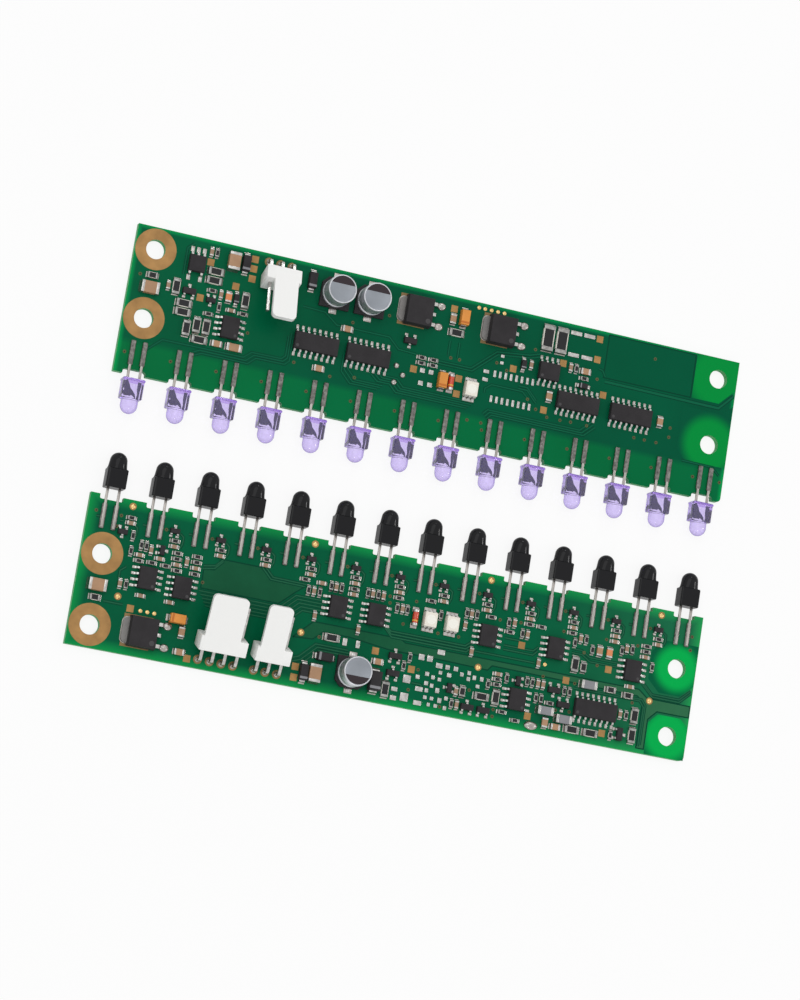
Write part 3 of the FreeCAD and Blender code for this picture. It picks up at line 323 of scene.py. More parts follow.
def grain(tree, base, strength, scale):
    """A base colour that varies a little with soft noise; on tin, end caps and solder it is painted
    reflection.
    """
    noise = add_node(tree, "TexNoise", {"Vector": own_place(tree), "Scale": scale, "Detail": GRAIN_DETAIL})
    dark = (*(channel * (1 - strength) for channel in base[:3]), 1)
    light = (*(min(1, channel * (1 + strength)) for channel in base[:3]), 1)
    return ramp(tree, noise.outputs["Fac"], dark, light, NOISE_LOW, NOISE_HIGH)


def halo(tree, core, board, hole, start, end):
    """A colour that goes over to the mask's with the distance from a mounting hole."""
    middle = Vector((*mounting_holes(board)[hole][:2], board_top(board))) * MM
    away = add_node(tree, "VectorMath", {0: own_place(tree), 1: middle}, "DISTANCE")
    share = add_node(tree, "MapRange", {"Value": away.outputs["Value"], "From Min": start * MM,
                                        "From Max": end * MM})
    return ramp(tree, share.outputs["Result"], core, tint(f"{board}_mask"), interpolation="EASE")


def rim(tree, inner, strength, board, start, end, notched):
    """A mask that is brighter along the edges of its board, and mottled a little."""
    low, high = board_box(board)
    place = offset = own_place(tree)
    steps = [("SUBTRACT", (low + high) / 2), ("ABSOLUTE", None), ("SUBTRACT", (high - low) / 2)]
    if not notched:
        steps.insert(1, ("MAXIMUM", Vector((low.x, 0, 0))))
    for operation, value in steps:
        inputs = {0: offset, 1: value * MM} if value else {0: offset}
        offset = add_node(tree, "VectorMath", inputs, operation).outputs["Vector"]
    split = add_node(tree, "SeparateXYZ", {"Vector": offset})
    nearest = add_node(tree, "Math", {0: split.outputs["X"], 1: split.outputs["Y"]}, "MAXIMUM")
    share = add_node(tree, "MapRange", {"Value": nearest.outputs[0], "From Min": -start * MM,
                                        "From Max": -end * MM})
    edged = ramp(tree, share.outputs["Result"], tint(f"{board}_rim"), inner)
    noise = add_node(tree, "TexNoise", {"Vector": place, "Scale": MOTTLE_SCALE})
    level = add_node(tree, "MapRange", {"Value": noise.outputs["Fac"], "From Min": NOISE_LOW,
                                        "From Max": NOISE_HIGH, "To Min": 1 - strength,
                                        "To Max": 1 + strength})
    scaled = add_node(tree, "VectorMath", {0: edged, "Scale": level.outputs["Result"]}, "SCALE")
    return scaled.outputs["Vector"]


def lighten(tree, shade, base, board, light, parts):
    """A shade that comes nearer to a lighter one in parts of a board."""
    change = [there - here for there, here in zip(tint(light)[:3], base)]
    split = add_node(tree, "SeparateXYZ", {"Vector": own_place(tree)})
    for most, axis, start, end in parts:
        first, last = (spot(board, place, place)["XY".index(axis)] * MM for place in (start, end))
        share = add_node(tree, "MapRange", {"Value": split.outputs[axis], "From Min": first, "From Max": last,
                                            "To Max": most})
        step = add_node(tree, "VectorMath", {0: share.outputs["Result"], 1: change, 2: shade}, "MULTIPLY_ADD")
        shade = step.outputs["Vector"]
    return shade


def lens_outline_shade(tree, middle):
    """Painted shade: a violet that deepens where the surface of a clear lens turns away."""
    facing = add_node(tree, "LayerWeight", {"Blend": TURN_BLEND}).outputs["Facing"]
    return ramp(tree, facing, middle, tint("lamp_edge"), TURN_START, TURN_END)


def bump(tree, scale, strength):
    """A surface that is uneven with noise."""
    noise = add_node(tree, "TexNoise", {"Vector": own_place(tree), "Scale": scale})
    made = add_node(tree, "Bump", {"Height": noise.outputs["Fac"], "Strength": strength,
                                   "Distance": BUMP_DEPTH * MM})
    return made.outputs["Normal"]


def material(name):
    """The material of a finish, made once."""
    made = bpy.data.materials.get(f"{name}_finish")
    if made:
        return made
    finish = FINISHES[name]
    made = bpy.data.materials.new(f"{name}_finish")
    made.use_nodes = True
    tree = made.node_tree
    shader = tree.nodes["Principled BSDF"]
    base = tint(finish.colour)
    set_inputs(tree, shader, {"Base Color": base, "Metallic": finish.metallic, "Roughness": finish.roughness,
                              "Specular IOR Level": finish.gloss})
    shade = None
    if name in RIMS:
        shade = rim(tree, base, finish.grain, *RIMS[name])
    elif name in HALOS:
        shade = halo(tree, base, *HALOS[name])
    elif name in CLEAR:
        shade = lens_outline_shade(tree, base)
        set_inputs(tree, shader, {"Transmission Weight": CLEAR_SHARE, "IOR": CLEAR_IOR})
    elif finish.grain:
        shade = grain(tree, base, finish.grain, GRAIN_AND_REFLECTION_SCALE.get(name, COMMON_GRAIN_SCALE))
    if name in LIGHTER:
        shade = lighten(tree, shade, base, *LIGHTER[name])
    if shade:
        set_inputs(tree, shader, {"Base Color": shade})
    if name in BUMPS:
        set_inputs(tree, shader, {"Normal": bump(tree, *BUMPS[name])})
    if name in POLISH:
        set_inputs(tree, shader, {"Coat Weight": POLISH[name], "Coat Roughness": COAT_ROUGHNESS,
                                  "Coat IOR": COAT_IOR})
    return made


# Mesh drafts, in millimetres

# Edges that turn by less than this many degrees are smooth
SMOOTH_BELOW = 38
LENS_SMOOTH_BELOW = 50
# Mitred corners reach no further than half the width over this
STRAP_MITRE = 0.3
TRACE_MITRE = 0.4


def rotation(degrees, axis="Z"):
    return Matrix.Rotation(math.radians(degrees), 4, axis)


class Draft:
    """Points and faces of a piece while it is put together."""

    def __init__(self):
        self.points = []
        self.faces = []

    def add(self, other, place=None):
        """Take in another draft, moved by a matrix."""
        start = len(self.points)
        self.points += [place @ point for point in other.points] if place else other.points
        self.faces += [([start + k for k in corners], finish) for corners, finish in other.faces]
        return self

    def moved(self, x=0, y=0, z=0):
        return Draft().add(self, Matrix.Translation((x, y, z)))

    def turned(self, degrees, axis="Z"):
        return Draft().add(self, rotation(degrees, axis))

    def build(self, name, *nodes, slot=None, smooth_below=SMOOTH_BELOW):
        """Make the piece, hang it on the frame and let it stand for CAD nodes."""
        mesh = bpy.data.meshes.new(name)
        faces, finishes = zip(*self.faces)
        mesh.from_pydata([point * MM for point in self.points], [], faces)
        used = sorted(set(finishes))
        for finish in used:
            mesh.materials.append(material(finish))
        mesh.polygons.foreach_set("material_index", [used.index(finish) for finish in finishes])
        mesh.polygons.foreach_set("use_smooth", [True] * len(faces))
        mesh.set_sharp_from_angle(angle=math.radians(smooth_below))
        mesh.update()
        piece = bpy.data.objects.new(name, mesh)
        bpy.context.scene.collection.objects.link(piece)
        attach(piece, "root")
        if nodes:
            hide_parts(*nodes)


def block(long, wide, high, finish, bevel=0.0, rings=2, low=0.0, draft=0.0):
    """A box on Z = low, centred in X and Y, with rounded edges and sides that lean in by a draft."""
    work = bmesh.new()
    bmesh.ops.create_cube(work, size=1)
    for vertex in work.verts:
        lean = draft if vertex.co.z > 0 else 0
        x = vertex.co.x * (long - 2 * lean)
        y = vertex.co.y * (wide - 2 * lean)
        vertex.co = (x, y, low + (vertex.co.z + 0.5) * high)
    if bevel:
        bmesh.ops.bevel(work, geom=work.edges[:], offset=bevel, segments=rings, profile=0.5, affect="EDGES")
    made = Draft()
    work.verts.index_update()
    made.points = [vertex.co.copy() for vertex in work.verts]
    made.faces = [([vertex.index for vertex in face.verts], finish) for face in work.faces]
    work.free()
    return made


def anticlockwise(loop):
    """A loop of (x, y) points, turned round if it runs clockwise."""
    area = sum(a[0] * b[1] - b[0] * a[1] for a, b in zip(loop, loop[1:] + loop[:1]))
    return loop if area > 0 else loop[::-1]


def around(count):
    """Pairs of neighbours round a closed ring."""
    return [(a, (a + 1) % count) for a in range(count)]


def sheet(outline, low, high, finish, side=None, holes=(), floor=True):
    """A flat plate of any outline, with holes, from one height to another."""
    loops = [anticlockwise(list(outline))] + [anticlockwise(list(hole))[::-1] for hole in holes]
    rings = [[Vector((x, y, 0)) for x, y in loop] for loop in loops]
    flat = [point for ring in rings for point in ring]
    count = len(flat)
    made = Draft()
    made.points = [point + UP * high for point in flat] + [point + UP * low for point in flat]
    for a, b, c in tessellate_polygon(rings):
        normal = (flat[b] - flat[a]).cross(flat[c] - flat[a])
        corners = [a, b, c] if normal.z > 0 else [a, c, b]
        made.faces.append((corners, finish))
        if floor:
            made.faces.append(([count + k for k in reversed(corners)], finish))
    start = 0
    for ring in rings:
        for a, b in around(len(ring)):
            high_a, high_b = start + a, start + b
            made.faces.append(([high_a, count + high_a, count + high_b, high_b], side or finish))
        start += len(ring)
    return made


def circle(x, y, radius, count):
    turns = [2 * math.pi * k / count for k in range(count)]
    return [(x + radius * math.cos(turn), y + radius * math.sin(turn)) for turn in turns]


def rectangle(x, y, wide, high):
    return [(x - wide / 2, y - high / 2), (x + wide / 2, y - high / 2),
            (x + wide / 2, y + high / 2), (x - wide / 2, y + high / 2)]


def skin(rings, finishes):
    """A closed skin through rings of equally many points, with the finish of each band between them."""
    made = Draft()
    count = len(rings[0])
    for ring in rings:
        made.points += [Vector(point) for point in ring]
    for k, finish in enumerate(finishes):
        low, high = k * count, (k + 1) * count
        for a, b in around(count):
            made.faces.append(([low + a, low + b, high + b, high + a], finish))
    made.faces.append((list(range(count))[::-1], finishes[0]))
    made.faces.append(([(len(rings) - 1) * count + a for a in range(count)], finishes[-1]))
    return made


def lathe(profile, finishes, count):
    """A turned body from (radius, height) points and the finish of each band between them."""
    rings = [[(x, y, height) for x, y in circle(0, 0, radius, count)] for radius, height in profile]
    return skin(rings, finishes)


def disc(radius, side, face, high, finish, count):
    """A thin round mark: its radius, the height of its side, the radius of its face, and its height."""
    return lathe([(radius, 0), (radius, side), (face, high)], [finish] * 2, count)


def both_sides(line, wide, least):
    """The two sides of a strip of one width along a line of 2-D points, with mitred corners."""
    points = [Vector(point) for point in line]
    left, right = [], []
    for k, point in enumerate(points):
        before = (point - points[k - 1]).normalized() if k else None
        after = (points[k + 1] - point).normalized() if k + 1 < len(points) else None
        along = ((before or after) + (after or before)).normalized()
        normal = Vector((-along.y, along.x))
        spread = wide / 2 / max(least, along.dot(after or before))
        left.append(point + normal * spread)
        right.append(point - normal * spread)
    return left, right


def prism(outline, wide, ends, finish):
    """A prism along Y from a clockwise (x, z) outline, closed at each end by faces of its corners."""
    count = len(outline)
    made = Draft()
    for y in (-wide / 2, wide / 2):
        made.points += [Vector((x, y, z)) for x, z in outline]
    for face in ends:
        made.faces.append((face[::-1], finish))
        made.faces.append(([count + corner for corner in face], finish))
    for a, b in around(count):
        made.faces.append(([a, b, count + b, count + a], finish))
    return made


def strap(line, thick, wide, finish):
    """A bent strip along +X: a line of (x, z) points in the middle of its thickness."""
    upper, lower = both_sides(line, thick, STRAP_MITRE)
    last = 2 * len(line) - 1
    ends = [[k, k + 1, last - k - 1, last - k] for k in range(len(line) - 1)]
    return prism(upper + lower[::-1], wide, ends, finish)


def fillet(wide, reach, high):
    """A hollow solder slope that falls from a face at X = 0 along +X."""
    outline = [(0, high), (reach * 0.3, high * 0.42), (reach * 0.65, high * 0.15), (reach, 0.02), (reach, 0),
               (0, 0)]
    return prism(outline, wide, [list(range(len(outline)))], "solder")


def blob(long, wide, high):
    """A rounded heap of solder."""
    turns = [math.radians(15 * k) for k in range(6)]
    profile = [*((math.cos(turn), math.sin(turn)) for turn in turns), (0.05, 1)]
    heap = lathe(profile, ["solder"] * len(turns), 24)
    return Draft().add(heap, Matrix.Diagonal((long / 2, wide / 2, high, 1)))


def ribbon(line, wide, low, high, finish):
    """A flat trace of one width along a line of (x, y) points, open below."""
    left, right = both_sides(line, wide, TRACE_MITRE)
    made = Draft()
    for row, height in ((left, high), (right, high), (right, low), (left, low)):
        made.points += [Vector((*point, height)) for point in row]
    count = len(line)
    for k in range(count - 1):
        for a, b in ((0, 1), (1, 2), (3, 0)):
            first, second = a * count + k, b * count + k
            made.faces.append(([first, second, second + 1, first + 1], finish))
    return made


# Places on the boards

Solid = namedtuple("Solid", "centre size low high")
LENSES = {"emitter": "emitter_lamp_lenses", "receiver": "receiver_sensor_lenses"}
LEADS = {"emitter": "emitter_lamp_leads", "receiver": "receiver_sensor_leads"}
# A solid nearer than this to a place stands at it
SAME_PLACE = 0.9


def solids_of(node):
    """Each loose solid of a CAD node, in millimetres, from left to right."""
    mesh = frame["nodes"][node].data
    welded = {}
    index = [welded.setdefault(tuple(round(axis / MM, 3) for axis in vertex.co), len(welded))
             for vertex in mesh.vertices]
    owner = list(range(len(welded)))

    def root(k):
        while owner[k] != k:
            owner[k] = owner[owner[k]]
            k = owner[k]
        return k

    for polygon in mesh.polygons:
        first = root(index[polygon.vertices[0]])
        for vertex in polygon.vertices[1:]:
            owner[root(index[vertex])] = first
    clusters = {}
    for point, k in welded.items():
        clusters.setdefault(root(k), []).append(point)
    found = []
    for points in clusters.values():
        low = Vector([min(axis) for axis in zip(*points)])
        high = Vector([max(axis) for axis in zip(*points)])
        found.append(Solid((low + high) / 2, high - low, low, high))
    return sorted(found, key=lambda solid: (round(solid.centre.x, 2), solid.centre.y))


def board_box(board):
    low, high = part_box(f"{board}_board")
    return low / MM, high / MM


def spot(board, x, y):
    """A place read from the board's left end and from its edge that is higher in the picture."""
    low, high = board_box(board)
    return low.x + x, high.y - y


def board_top(board):
    return board_box(board)[1].z


def is_across(solid):
    return solid.size.y > solid.size.x


def foot(solid):
    """The middle of a solid's underside."""
    return Vector((solid.centre.x, solid.centre.y, solid.low.z))


def seat(solid, flip=False):
    """Where a piece drawn along X with its foot at the origin takes the place of a solid."""
    return Matrix.Translation(foot(solid)) @ rotation((90 if is_across(solid) else 0) + (180 if flip else 0))


def near(board, solid, places):
    """Whether a solid stands at one of some places of its board."""
    for place in places:
        x, y = spot(board, *place)
        if math.hypot(solid.centre.x - x, solid.centre.y - y) < SAME_PLACE:
            return True
    return False


def long_wide_high(solid):
    return tuple(round(value, 2) for value in (max(solid.size.xy), min(solid.size.xy), solid.size.z))


def mounting_holes(board):
    """(x, y, radius) of a board's mounting holes, left pair first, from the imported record."""
    mount = next(entry for entry in frame["record"]["mounts"] if entry["name"] == f"{board}_mounting")
    dims = mount["dims"]
    middle = Vector(mount["pos_m"]) / MM
    found = []
    for hand in (-1, 1):
        for side in (-1, 1):
            x = middle.x + hand * dims["spacing_x_mm"] / 2
            y = middle.y + side * dims["spacing_y_mm"] / 2
            found.append((x, y, dims["hole_r_mm"]))
    return found


# Copper, plating and solder of each board, from its left end and its edge higher in the picture

GOLD_PADS = {
    "emitter": [(16.6, 4.8), (26, 2), (26, 4.1), (26, 6.3), (22.8, 8.7), (15.6, 12.8), (64.4, 17.7),
                (71.4, 2.7), (74.8, 17.6), (74.8, 21), (86.7, 12.8), (95, 20.3), (97.9, 9.1), (105.5, 2),
                (105.6, 6.6), (108.1, 14.1)],
    "receiver": [(25.9, 30.4), (49.2, 27.7), (49.2, 30), (66, 21.2), (74.5, 23.6), (98.2, 13.9),
                 (118.7, 15.4), (109.4, 19.5), (101.9, 28.7), (119.3, 29.3), (12.3, 22.4)],
}
PLATED_HOLES = {
    "emitter": [],
    "receiver": [(9.2, 1.35), (49.2, 1.35), (89.2, 1.35), (129.2, 1.35),
                 (9.3, 20.4), (49.2, 20.4), (89.2, 20.4), (129.2, 20.4)],
}
FILLED_VIAS = {
    "emitter": [(76.9, 1.2), (78.3, 1.2), (79.8, 1.2), (81.3, 1.2), (82.8, 1.2)],
    "receiver": [(14.5, 22.5), (16, 22.5), (17.5, 22.5), (104.1, 17)],
}
# Heaps of solder with no part in them: middle, width, height
SOLDER_HEAPS = {"emitter": [(60.5, 17.8, 1.3, 1.3), (62.2, 19.6, 1.3, 1.3), (60.5, 21.5, 1.3, 1.3)],
                "receiver": [(102.9, 30.6, 3.2, 1.9)]}
# Empty tinned pads: middle, width, height
TIN_PADS = {
    "emitter": [(66.4, 17.6, 1.1, 1), (68.4, 17.6, 1.1, 1), (66.4, 20.4, 1.1, 1), (68.5, 20.4, 1.1, 1),
                (83.9, 10.6, 0.8, 0.7), (83.9, 12.1, 0.8, 0.7), (80.7, 14.7, 1.3, 0.8),
                (80.7, 16.5, 1.3, 0.8), (99.9, 1.9, 2.6, 0.9), (103, 1.9, 2.6, 0.9),
                (99.9, 6.8, 2.6, 0.9), (103.1, 6.8, 2.6, 0.9)]
               + [(82.7 + 1.27 * k, y, 0.6, 1.5) for k in range(8) for y in (14.8, 20.4)],
    "receiver": [(59, 20.6, 1, 1.6), (61.9, 20.6, 0.9, 1.6), (73.8, 25.8, 1.7, 1.7), (73.8, 29.7, 1.8, 1.8),
                 (71.4, 28.4, 1.4, 0.9), (71.4, 30.3, 1.4, 1), (80.5, 18.8, 1.7, 1.1), (76.3, 20.6, 1.3, 1.3),
                 (78.2, 20.6, 1.3, 1.3), (80.5, 21.7, 1.5, 1.1), (82.4, 21.7, 1, 1), (84.3, 21.7, 1, 1),
                 (85.8, 22.6, 0.8, 0.9), (87.4, 22, 0.8, 0.9), (87.4, 23.3, 0.8, 0.9), (88.7, 22.8, 0.8, 1),
                 (90.4, 22.8, 0.8, 1), (89.7, 24.5, 0.9, 0.8), (78.1, 23.9, 0.9, 0.9), (79.5, 24.4, 0.8, 0.9),
                 (76.1, 24.9, 0.9, 0.9), (81, 24.6, 0.8, 0.8), (81, 23.1, 0.8, 0.8), (83, 23.3, 1, 0.9),
                 (78.2, 25.9, 0.9, 0.9), (79.5, 26.2, 0.8, 0.9), (80.9, 27, 0.9, 1.1), (76.8, 27.4, 1.7, 1),
                 (78.5, 27.4, 0.8, 0.9), (78.4, 28.9, 0.8, 0.8), (79.9, 28.9, 0.8, 0.8), (81.7, 29, 0.9, 1.1),
                 (76.9, 30.4, 1.8, 1), (79.4, 30.3, 0.7, 0.8), (81, 30.3, 0.8, 0.8), (83.1, 28.3, 0.8, 0.9),
                 (83.1, 30.4, 0.8, 0.9)],
}
VIAS = {
    "emitter": [(2.1, 10.6), (27, 18), (38, 22), (46.3, 23.3), (49.4, 10.7), (51.7, 22.4), (57.2, 7.4),
                (72.3, 13.5), (74.3, 13.5), (82.8, 12.3), (85.3, 13.5), (91, 18.7), (91.1, 7.5),
                (93.2, 20.5), (96, 21.7), (99.1, 21.7), (101.6, 21.6), (105.4, 21.6), (106.2, 10.9),
                (119, 3.5), (124.8, 18), (124.8, 20.1), (122, 21.9), (119.2, 21.9), (116.7, 21.9),
                (78.1, 26.1), (81.3, 26.1), (138.2, 27.6)]
               + [(1.7 + 10 * k, 27.6) for k in range(14)],
    "receiver": [(1.7, 3.6), (7.1, 3.7), (6.5, 6.1), (137, 7.7), (26.5, 14.1), (67.3, 9.1), (67.5, 10.5),
                 (71.1, 14.4), (79.1, 14.9), (83.8, 14.8), (73.3, 9.1), (92.5, 9.4), (97.3, 9.1),
                 (107.3, 9.1), (117.3, 9), (124.7, 9), (112.6, 12.8), (116, 15), (111.5, 19.8),
                 (125.3, 21.5), (104.1, 19.6), (76, 23.4), (88, 25.6), (74.5, 28), (94, 28.7), (94, 30.2),
                 (82, 30.3), (108, 26.3), (111.2, 26.1), (53.3, 20.6)]
                + [(17 + 10 * k, 4.7) for k in range(13)],
}
# Wide areas of another tone: finish and outline
FIELDS = {
    "emitter": [
        ("masked_field", [(107.6, 0.5), (128.5, 0.5), (128.5, 10.2), (107.6, 10.2)]),
        ("emitter_upper_laminate", [(128.8, 0.1), (138.9, 0.1), (138.9, 6.6), (135.4, 10.2),
                                    (128.8, 10.2)]),
        ("emitter_lower_laminate", [(127, 12.4), (136.6, 12.4), (138.9, 10.2), (138.9, 24.3),
                                    (129, 24.3), (127, 22)]),
    ],
    "receiver": [
        ("masked_band", [(30.4, 8.5), (38.5, 8.5), (40.8, 10.8), (48.3, 10.9), (46.7, 12.2), (43.4, 15.3),
                         (26.3, 15.3), (26.3, 11.3), (28.6, 11)]),
        ("masked_band", [(47.6, 21.6), (51.6, 17.6), (71, 17.6), (72.3, 18.3), (126.4, 18.3), (128.6, 19.9),
                         (138.8, 19.9), (138.8, 22.4), (131.3, 22.4), (129.4, 24.4), (129.4, 31), (127.6, 31),
                         (127.6, 20.9), (126.3, 19.8), (92.3, 19.5), (91.4, 20.6), (82, 20.4), (69, 20.4),
                         (60, 19.4), (54, 19.4), (52, 21.3)]),
        ("receiver_upper_laminate", [(131, 6.6), (138.9, 6.6), (138.9, 15.6), (136, 18.2), (131, 18.2),
                                     (128.2, 15.6), (128.2, 9.4)]),
        ("receiver_lower_laminate", [(131.6, 22.9), (137, 22.9), (138.9, 24.6), (138.9, 31.9), (129.6, 31.9),
                                     (129.6, 25)]),
    ],
}
# Masked traces: first line, how many run side by side, and the step from one to the next
TRACES = {
    "emitter": [
        ([(6.2, 26.2), (9.2, 23.4), (27, 23.3), (28.6, 21.9), (35.2, 21.8), (36, 21), (36, 16.6)], 1, (0, 0)),
        ([(16, 24.6), (17.4, 23.9), (27.6, 23.9), (29.2, 22.4), (35.6, 22.3), (36.5, 21.4), (36.5, 16)],
         2, (0.5, 0.55)),
        ([(48.6, 18), (48.6, 21.6), (50.8, 23.8), (57, 23.8)], 3, (0.6, -0.5)),
        ([(55.2, 20.8), (56.8, 22.1), (59.6, 22.1), (61.2, 23.6), (77.5, 23.6)], 4, (0.5, -0.5)),
        ([(69, 14.7), (77.2, 14.7), (82.5, 9.9), (90, 9), (92.4, 8.2)], 2, (0.3, 0.6)),
        ([(71.6, 9.8), (71.6, 13.2)], 2, (2.2, 0)),
        ([(81, 19.4), (81, 18.4), (82.4, 17.3), (89.6, 17.3), (91.2, 18.7), (91.2, 19.8)], 1, (0, 0)),
        ([(81.4, 24), (82.4, 22.9), (104, 22.9), (106.4, 20.6)], 3, (0.5, 0.5)),
        ([(108, 10.9), (135.5, 11.1), (138.7, 7.7)], 2, (0, 0.25)),
        ([(88.5, 16.2), (90.6, 16.2), (93, 18.6)], 2, (0, 0.6)),
        ([(106.2, 8.5), (107.2, 8.7), (108, 10)], 1, (0, 0)),
        ([(128.6, 24.5), (136, 24.6), (137.8, 26.2)], 1, (0, 0)),
        ([(38, 9.6), (43, 9.8), (46, 12), (58, 12), (60.4, 14.2), (64.6, 14.4)], 1, (0, 0)),
        ([(12.5, 1.6), (11.2, 2.8), (11.2, 8.6)], 1, (0, 0)),
    ],
    "receiver": [
        ([(26, 15.9), (43.8, 15.9), (46.9, 12.9), (52.6, 12.9)], 5, (0.45, 0.72)),
        ([(26, 11.2), (28.6, 10.7), (30.2, 8.9)], 2, (0.1, -0.6)),
        ([(38.6, 8.4), (40.9, 10.6), (48.4, 10.7)], 2, (0.4, -0.5)),
        ([(47, 26.4), (49.6, 25.4), (52.8, 22.2), (60, 22.2)], 3, (0.5, 0.6)),
        ([(66.8, 14.6), (68.6, 16.4), (85.6, 16.4), (87, 15.2)], 3, (0.2, 0.62)),
        ([(86.2, 17.1), (101.6, 17.1)], 1, (0, 0)),
        ([(94.2, 13), (97.4, 13), (99, 11.6)], 1, (0, 0)),
        ([(94.2, 14.6), (101, 14.6), (102, 13.6)], 2, (0, 0.9)),
        ([(109.6, 12.4), (112, 12.4), (114, 13.6), (121, 13.6)], 2, (0.2, 0.9)),
        ([(126.8, 16.4), (129.6, 18.9), (136, 18.9), (138.5, 16.5)], 2, (0.1, 0.55)),
        ([(111.4, 20.8), (127, 20.8), (128, 22), (128, 30.6)], 2, (0.4, -0.4)),
        ([(10, 14), (8.8, 15), (8.8, 16.6)], 1, (0, 0)),
        ([(8, 9.6), (6.8, 11)], 1, (0, 0)),
        ([(10.6, 21.9), (6.4, 21.9)], 1, (0, 0)),
        ([(75, 26.4), (77, 26.4), (78, 27.4)], 1, (0, 0)),
    ],
}
# Each trace lies a little higher than the one before, so that no two share a plane where they cross
TRACE_STEP = 0.0002
CORE_STEP = 0.0075
# Traces beside each sensor, from the sensor's own place
CHANNEL_TRACES = [[(2.5, 4.7), (3.2, 4.7)], [(5.6, 5), (6.4, 5.6), (6.4, 7), (6, 8)],
                  [(-1.3, 4.7), (-2.6, 4.7)]]
# Sides of round outlines
RING_SIDES = 64
HOLE_SIDES = 48
PAD_SIDES = 28
VIA_SIDES = 14
BORE_SIDES = 8
# Bore of a via, as a share of its ring
VIA_BORE = 0.42
# Solder in plated holes, as (share of the ring's radius, height), and in filled vias, as (radius, height)
PLATED_DOME = [(0.75, 0), (0.6, 0.14), (0.3, 0.22)]
FILLED_DOME = [(0.46, 0), (0.4, 0.1), (0.2, 0.16)]
# How far a heap of solder rises, as a share of its size across the board
HEAP_RISE = 0.45
TIN_HEIGHT = 0.2
TIN_BEVEL = 0.09


def plated(board, outline, finish, holes=(), rise="plate_relief"):
    top = board_top(board)
    return sheet(outline, top, top + size_of(rise), finish, holes=holes, floor=False)


def encloses(loop, x, y):
    """Whether a loop of points goes round a place."""
    crossings = 0
    for (ax, ay), (bx, by) in zip(loop, loop[1:] + loop[:1]):
        if (ay > y) != (by > y) and x < ax + (y - ay) / (by - ay) * (bx - ax):
            crossings += 1
    return crossings % 2 == 1


def at(board, loop):
    return [spot(board, *point) for point in loop]


def beam_places(board):
    """The X of each lens of a board."""
    return [solid.centre.x for solid in solids_of(LENSES[board])]


NOTCH_WIDE = 5.0
NOTCH_DEEP = 1.0
CORNER_STEPS = 5


def corner_arc(x, y, radius, start):
    """A quarter turn of points round (x, y), from an angle in degrees."""
    turns = [math.radians(start + 90 * k / CORNER_STEPS) for k in range(CORNER_STEPS + 1)]
    return [(x + radius * math.cos(turn), y + radius * math.sin(turn)) for turn in turns]


def board_outline(board):
    """The routed outline with its row of notches, in the frame."""
    low, high = board_box(board)
    radius = size_of(f"{board}_notch_radius")
    edge, inward, back = (low.y, 1, high.y) if board == "emitter" else (high.y, -1, low.y)
    line = [(low.x, edge)]
    floor = edge + inward * NOTCH_DEEP
    for x in beam_places(board):
        left, right = x - NOTCH_WIDE / 2, x + NOTCH_WIDE / 2
        middle = floor - inward * radius
        first = corner_arc(left + radius, middle, radius, 180 if inward < 0 else 90)
        second = corner_arc(right - radius, middle, radius, 270 if inward < 0 else 0)
        if inward > 0:
            first, second = first[::-1], second[::-1]
        line += [(left, edge), *first, *second, (right, edge)]
    worn = size_of("far_corner")
    if board == "emitter":
        return line + corner_arc(high.x - worn, edge + worn, worn, 270) + [(high.x, back), (low.x, back)]
    return line + [(high.x, edge), *corner_arc(high.x - worn, back + worn, worn, 270)[::-1], (low.x, back)]


class AREASENSOR_OT_boards(bpy.types.Operator):
    """Lay the two boards with their notches, mounting holes and areas of other tones"""

    bl_idname = "area_sensor.boards"
    bl_label = "Boards"

    def execute(self, context):
        for board in BOARDS:
            low, high = board_box(board)
            places = mounting_holes(board)
            holes = [circle(*place, HOLE_SIDES) for place in places]
            plate = sheet(board_outline(board), low.z, high.z, f"{board}_mask", "board_edge", holes)
            plate.build(f"{board}_laminate", f"{board}_board", slot="solder_mask")
            areas = Draft()
            for finish, outline in FIELDS[board]:
                loop = at(board, outline)
                inside = [hole for hole, place in zip(holes, places) if encloses(loop, *place[:2])]
                areas.add(plated(board, loop, finish, inside, "field_relief"))
                if finish in ("masked_band", "masked_field"):
                    areas.add(ribbon(anticlockwise(loop + loop[:1]), size_of("trace_width"), high.z,
                                     high.z + size_of("trace_relief"), "trace_gap"))
            areas.build(f"{board}_mask_tones", slot="solder_mask")
        return {"FINISHED"}


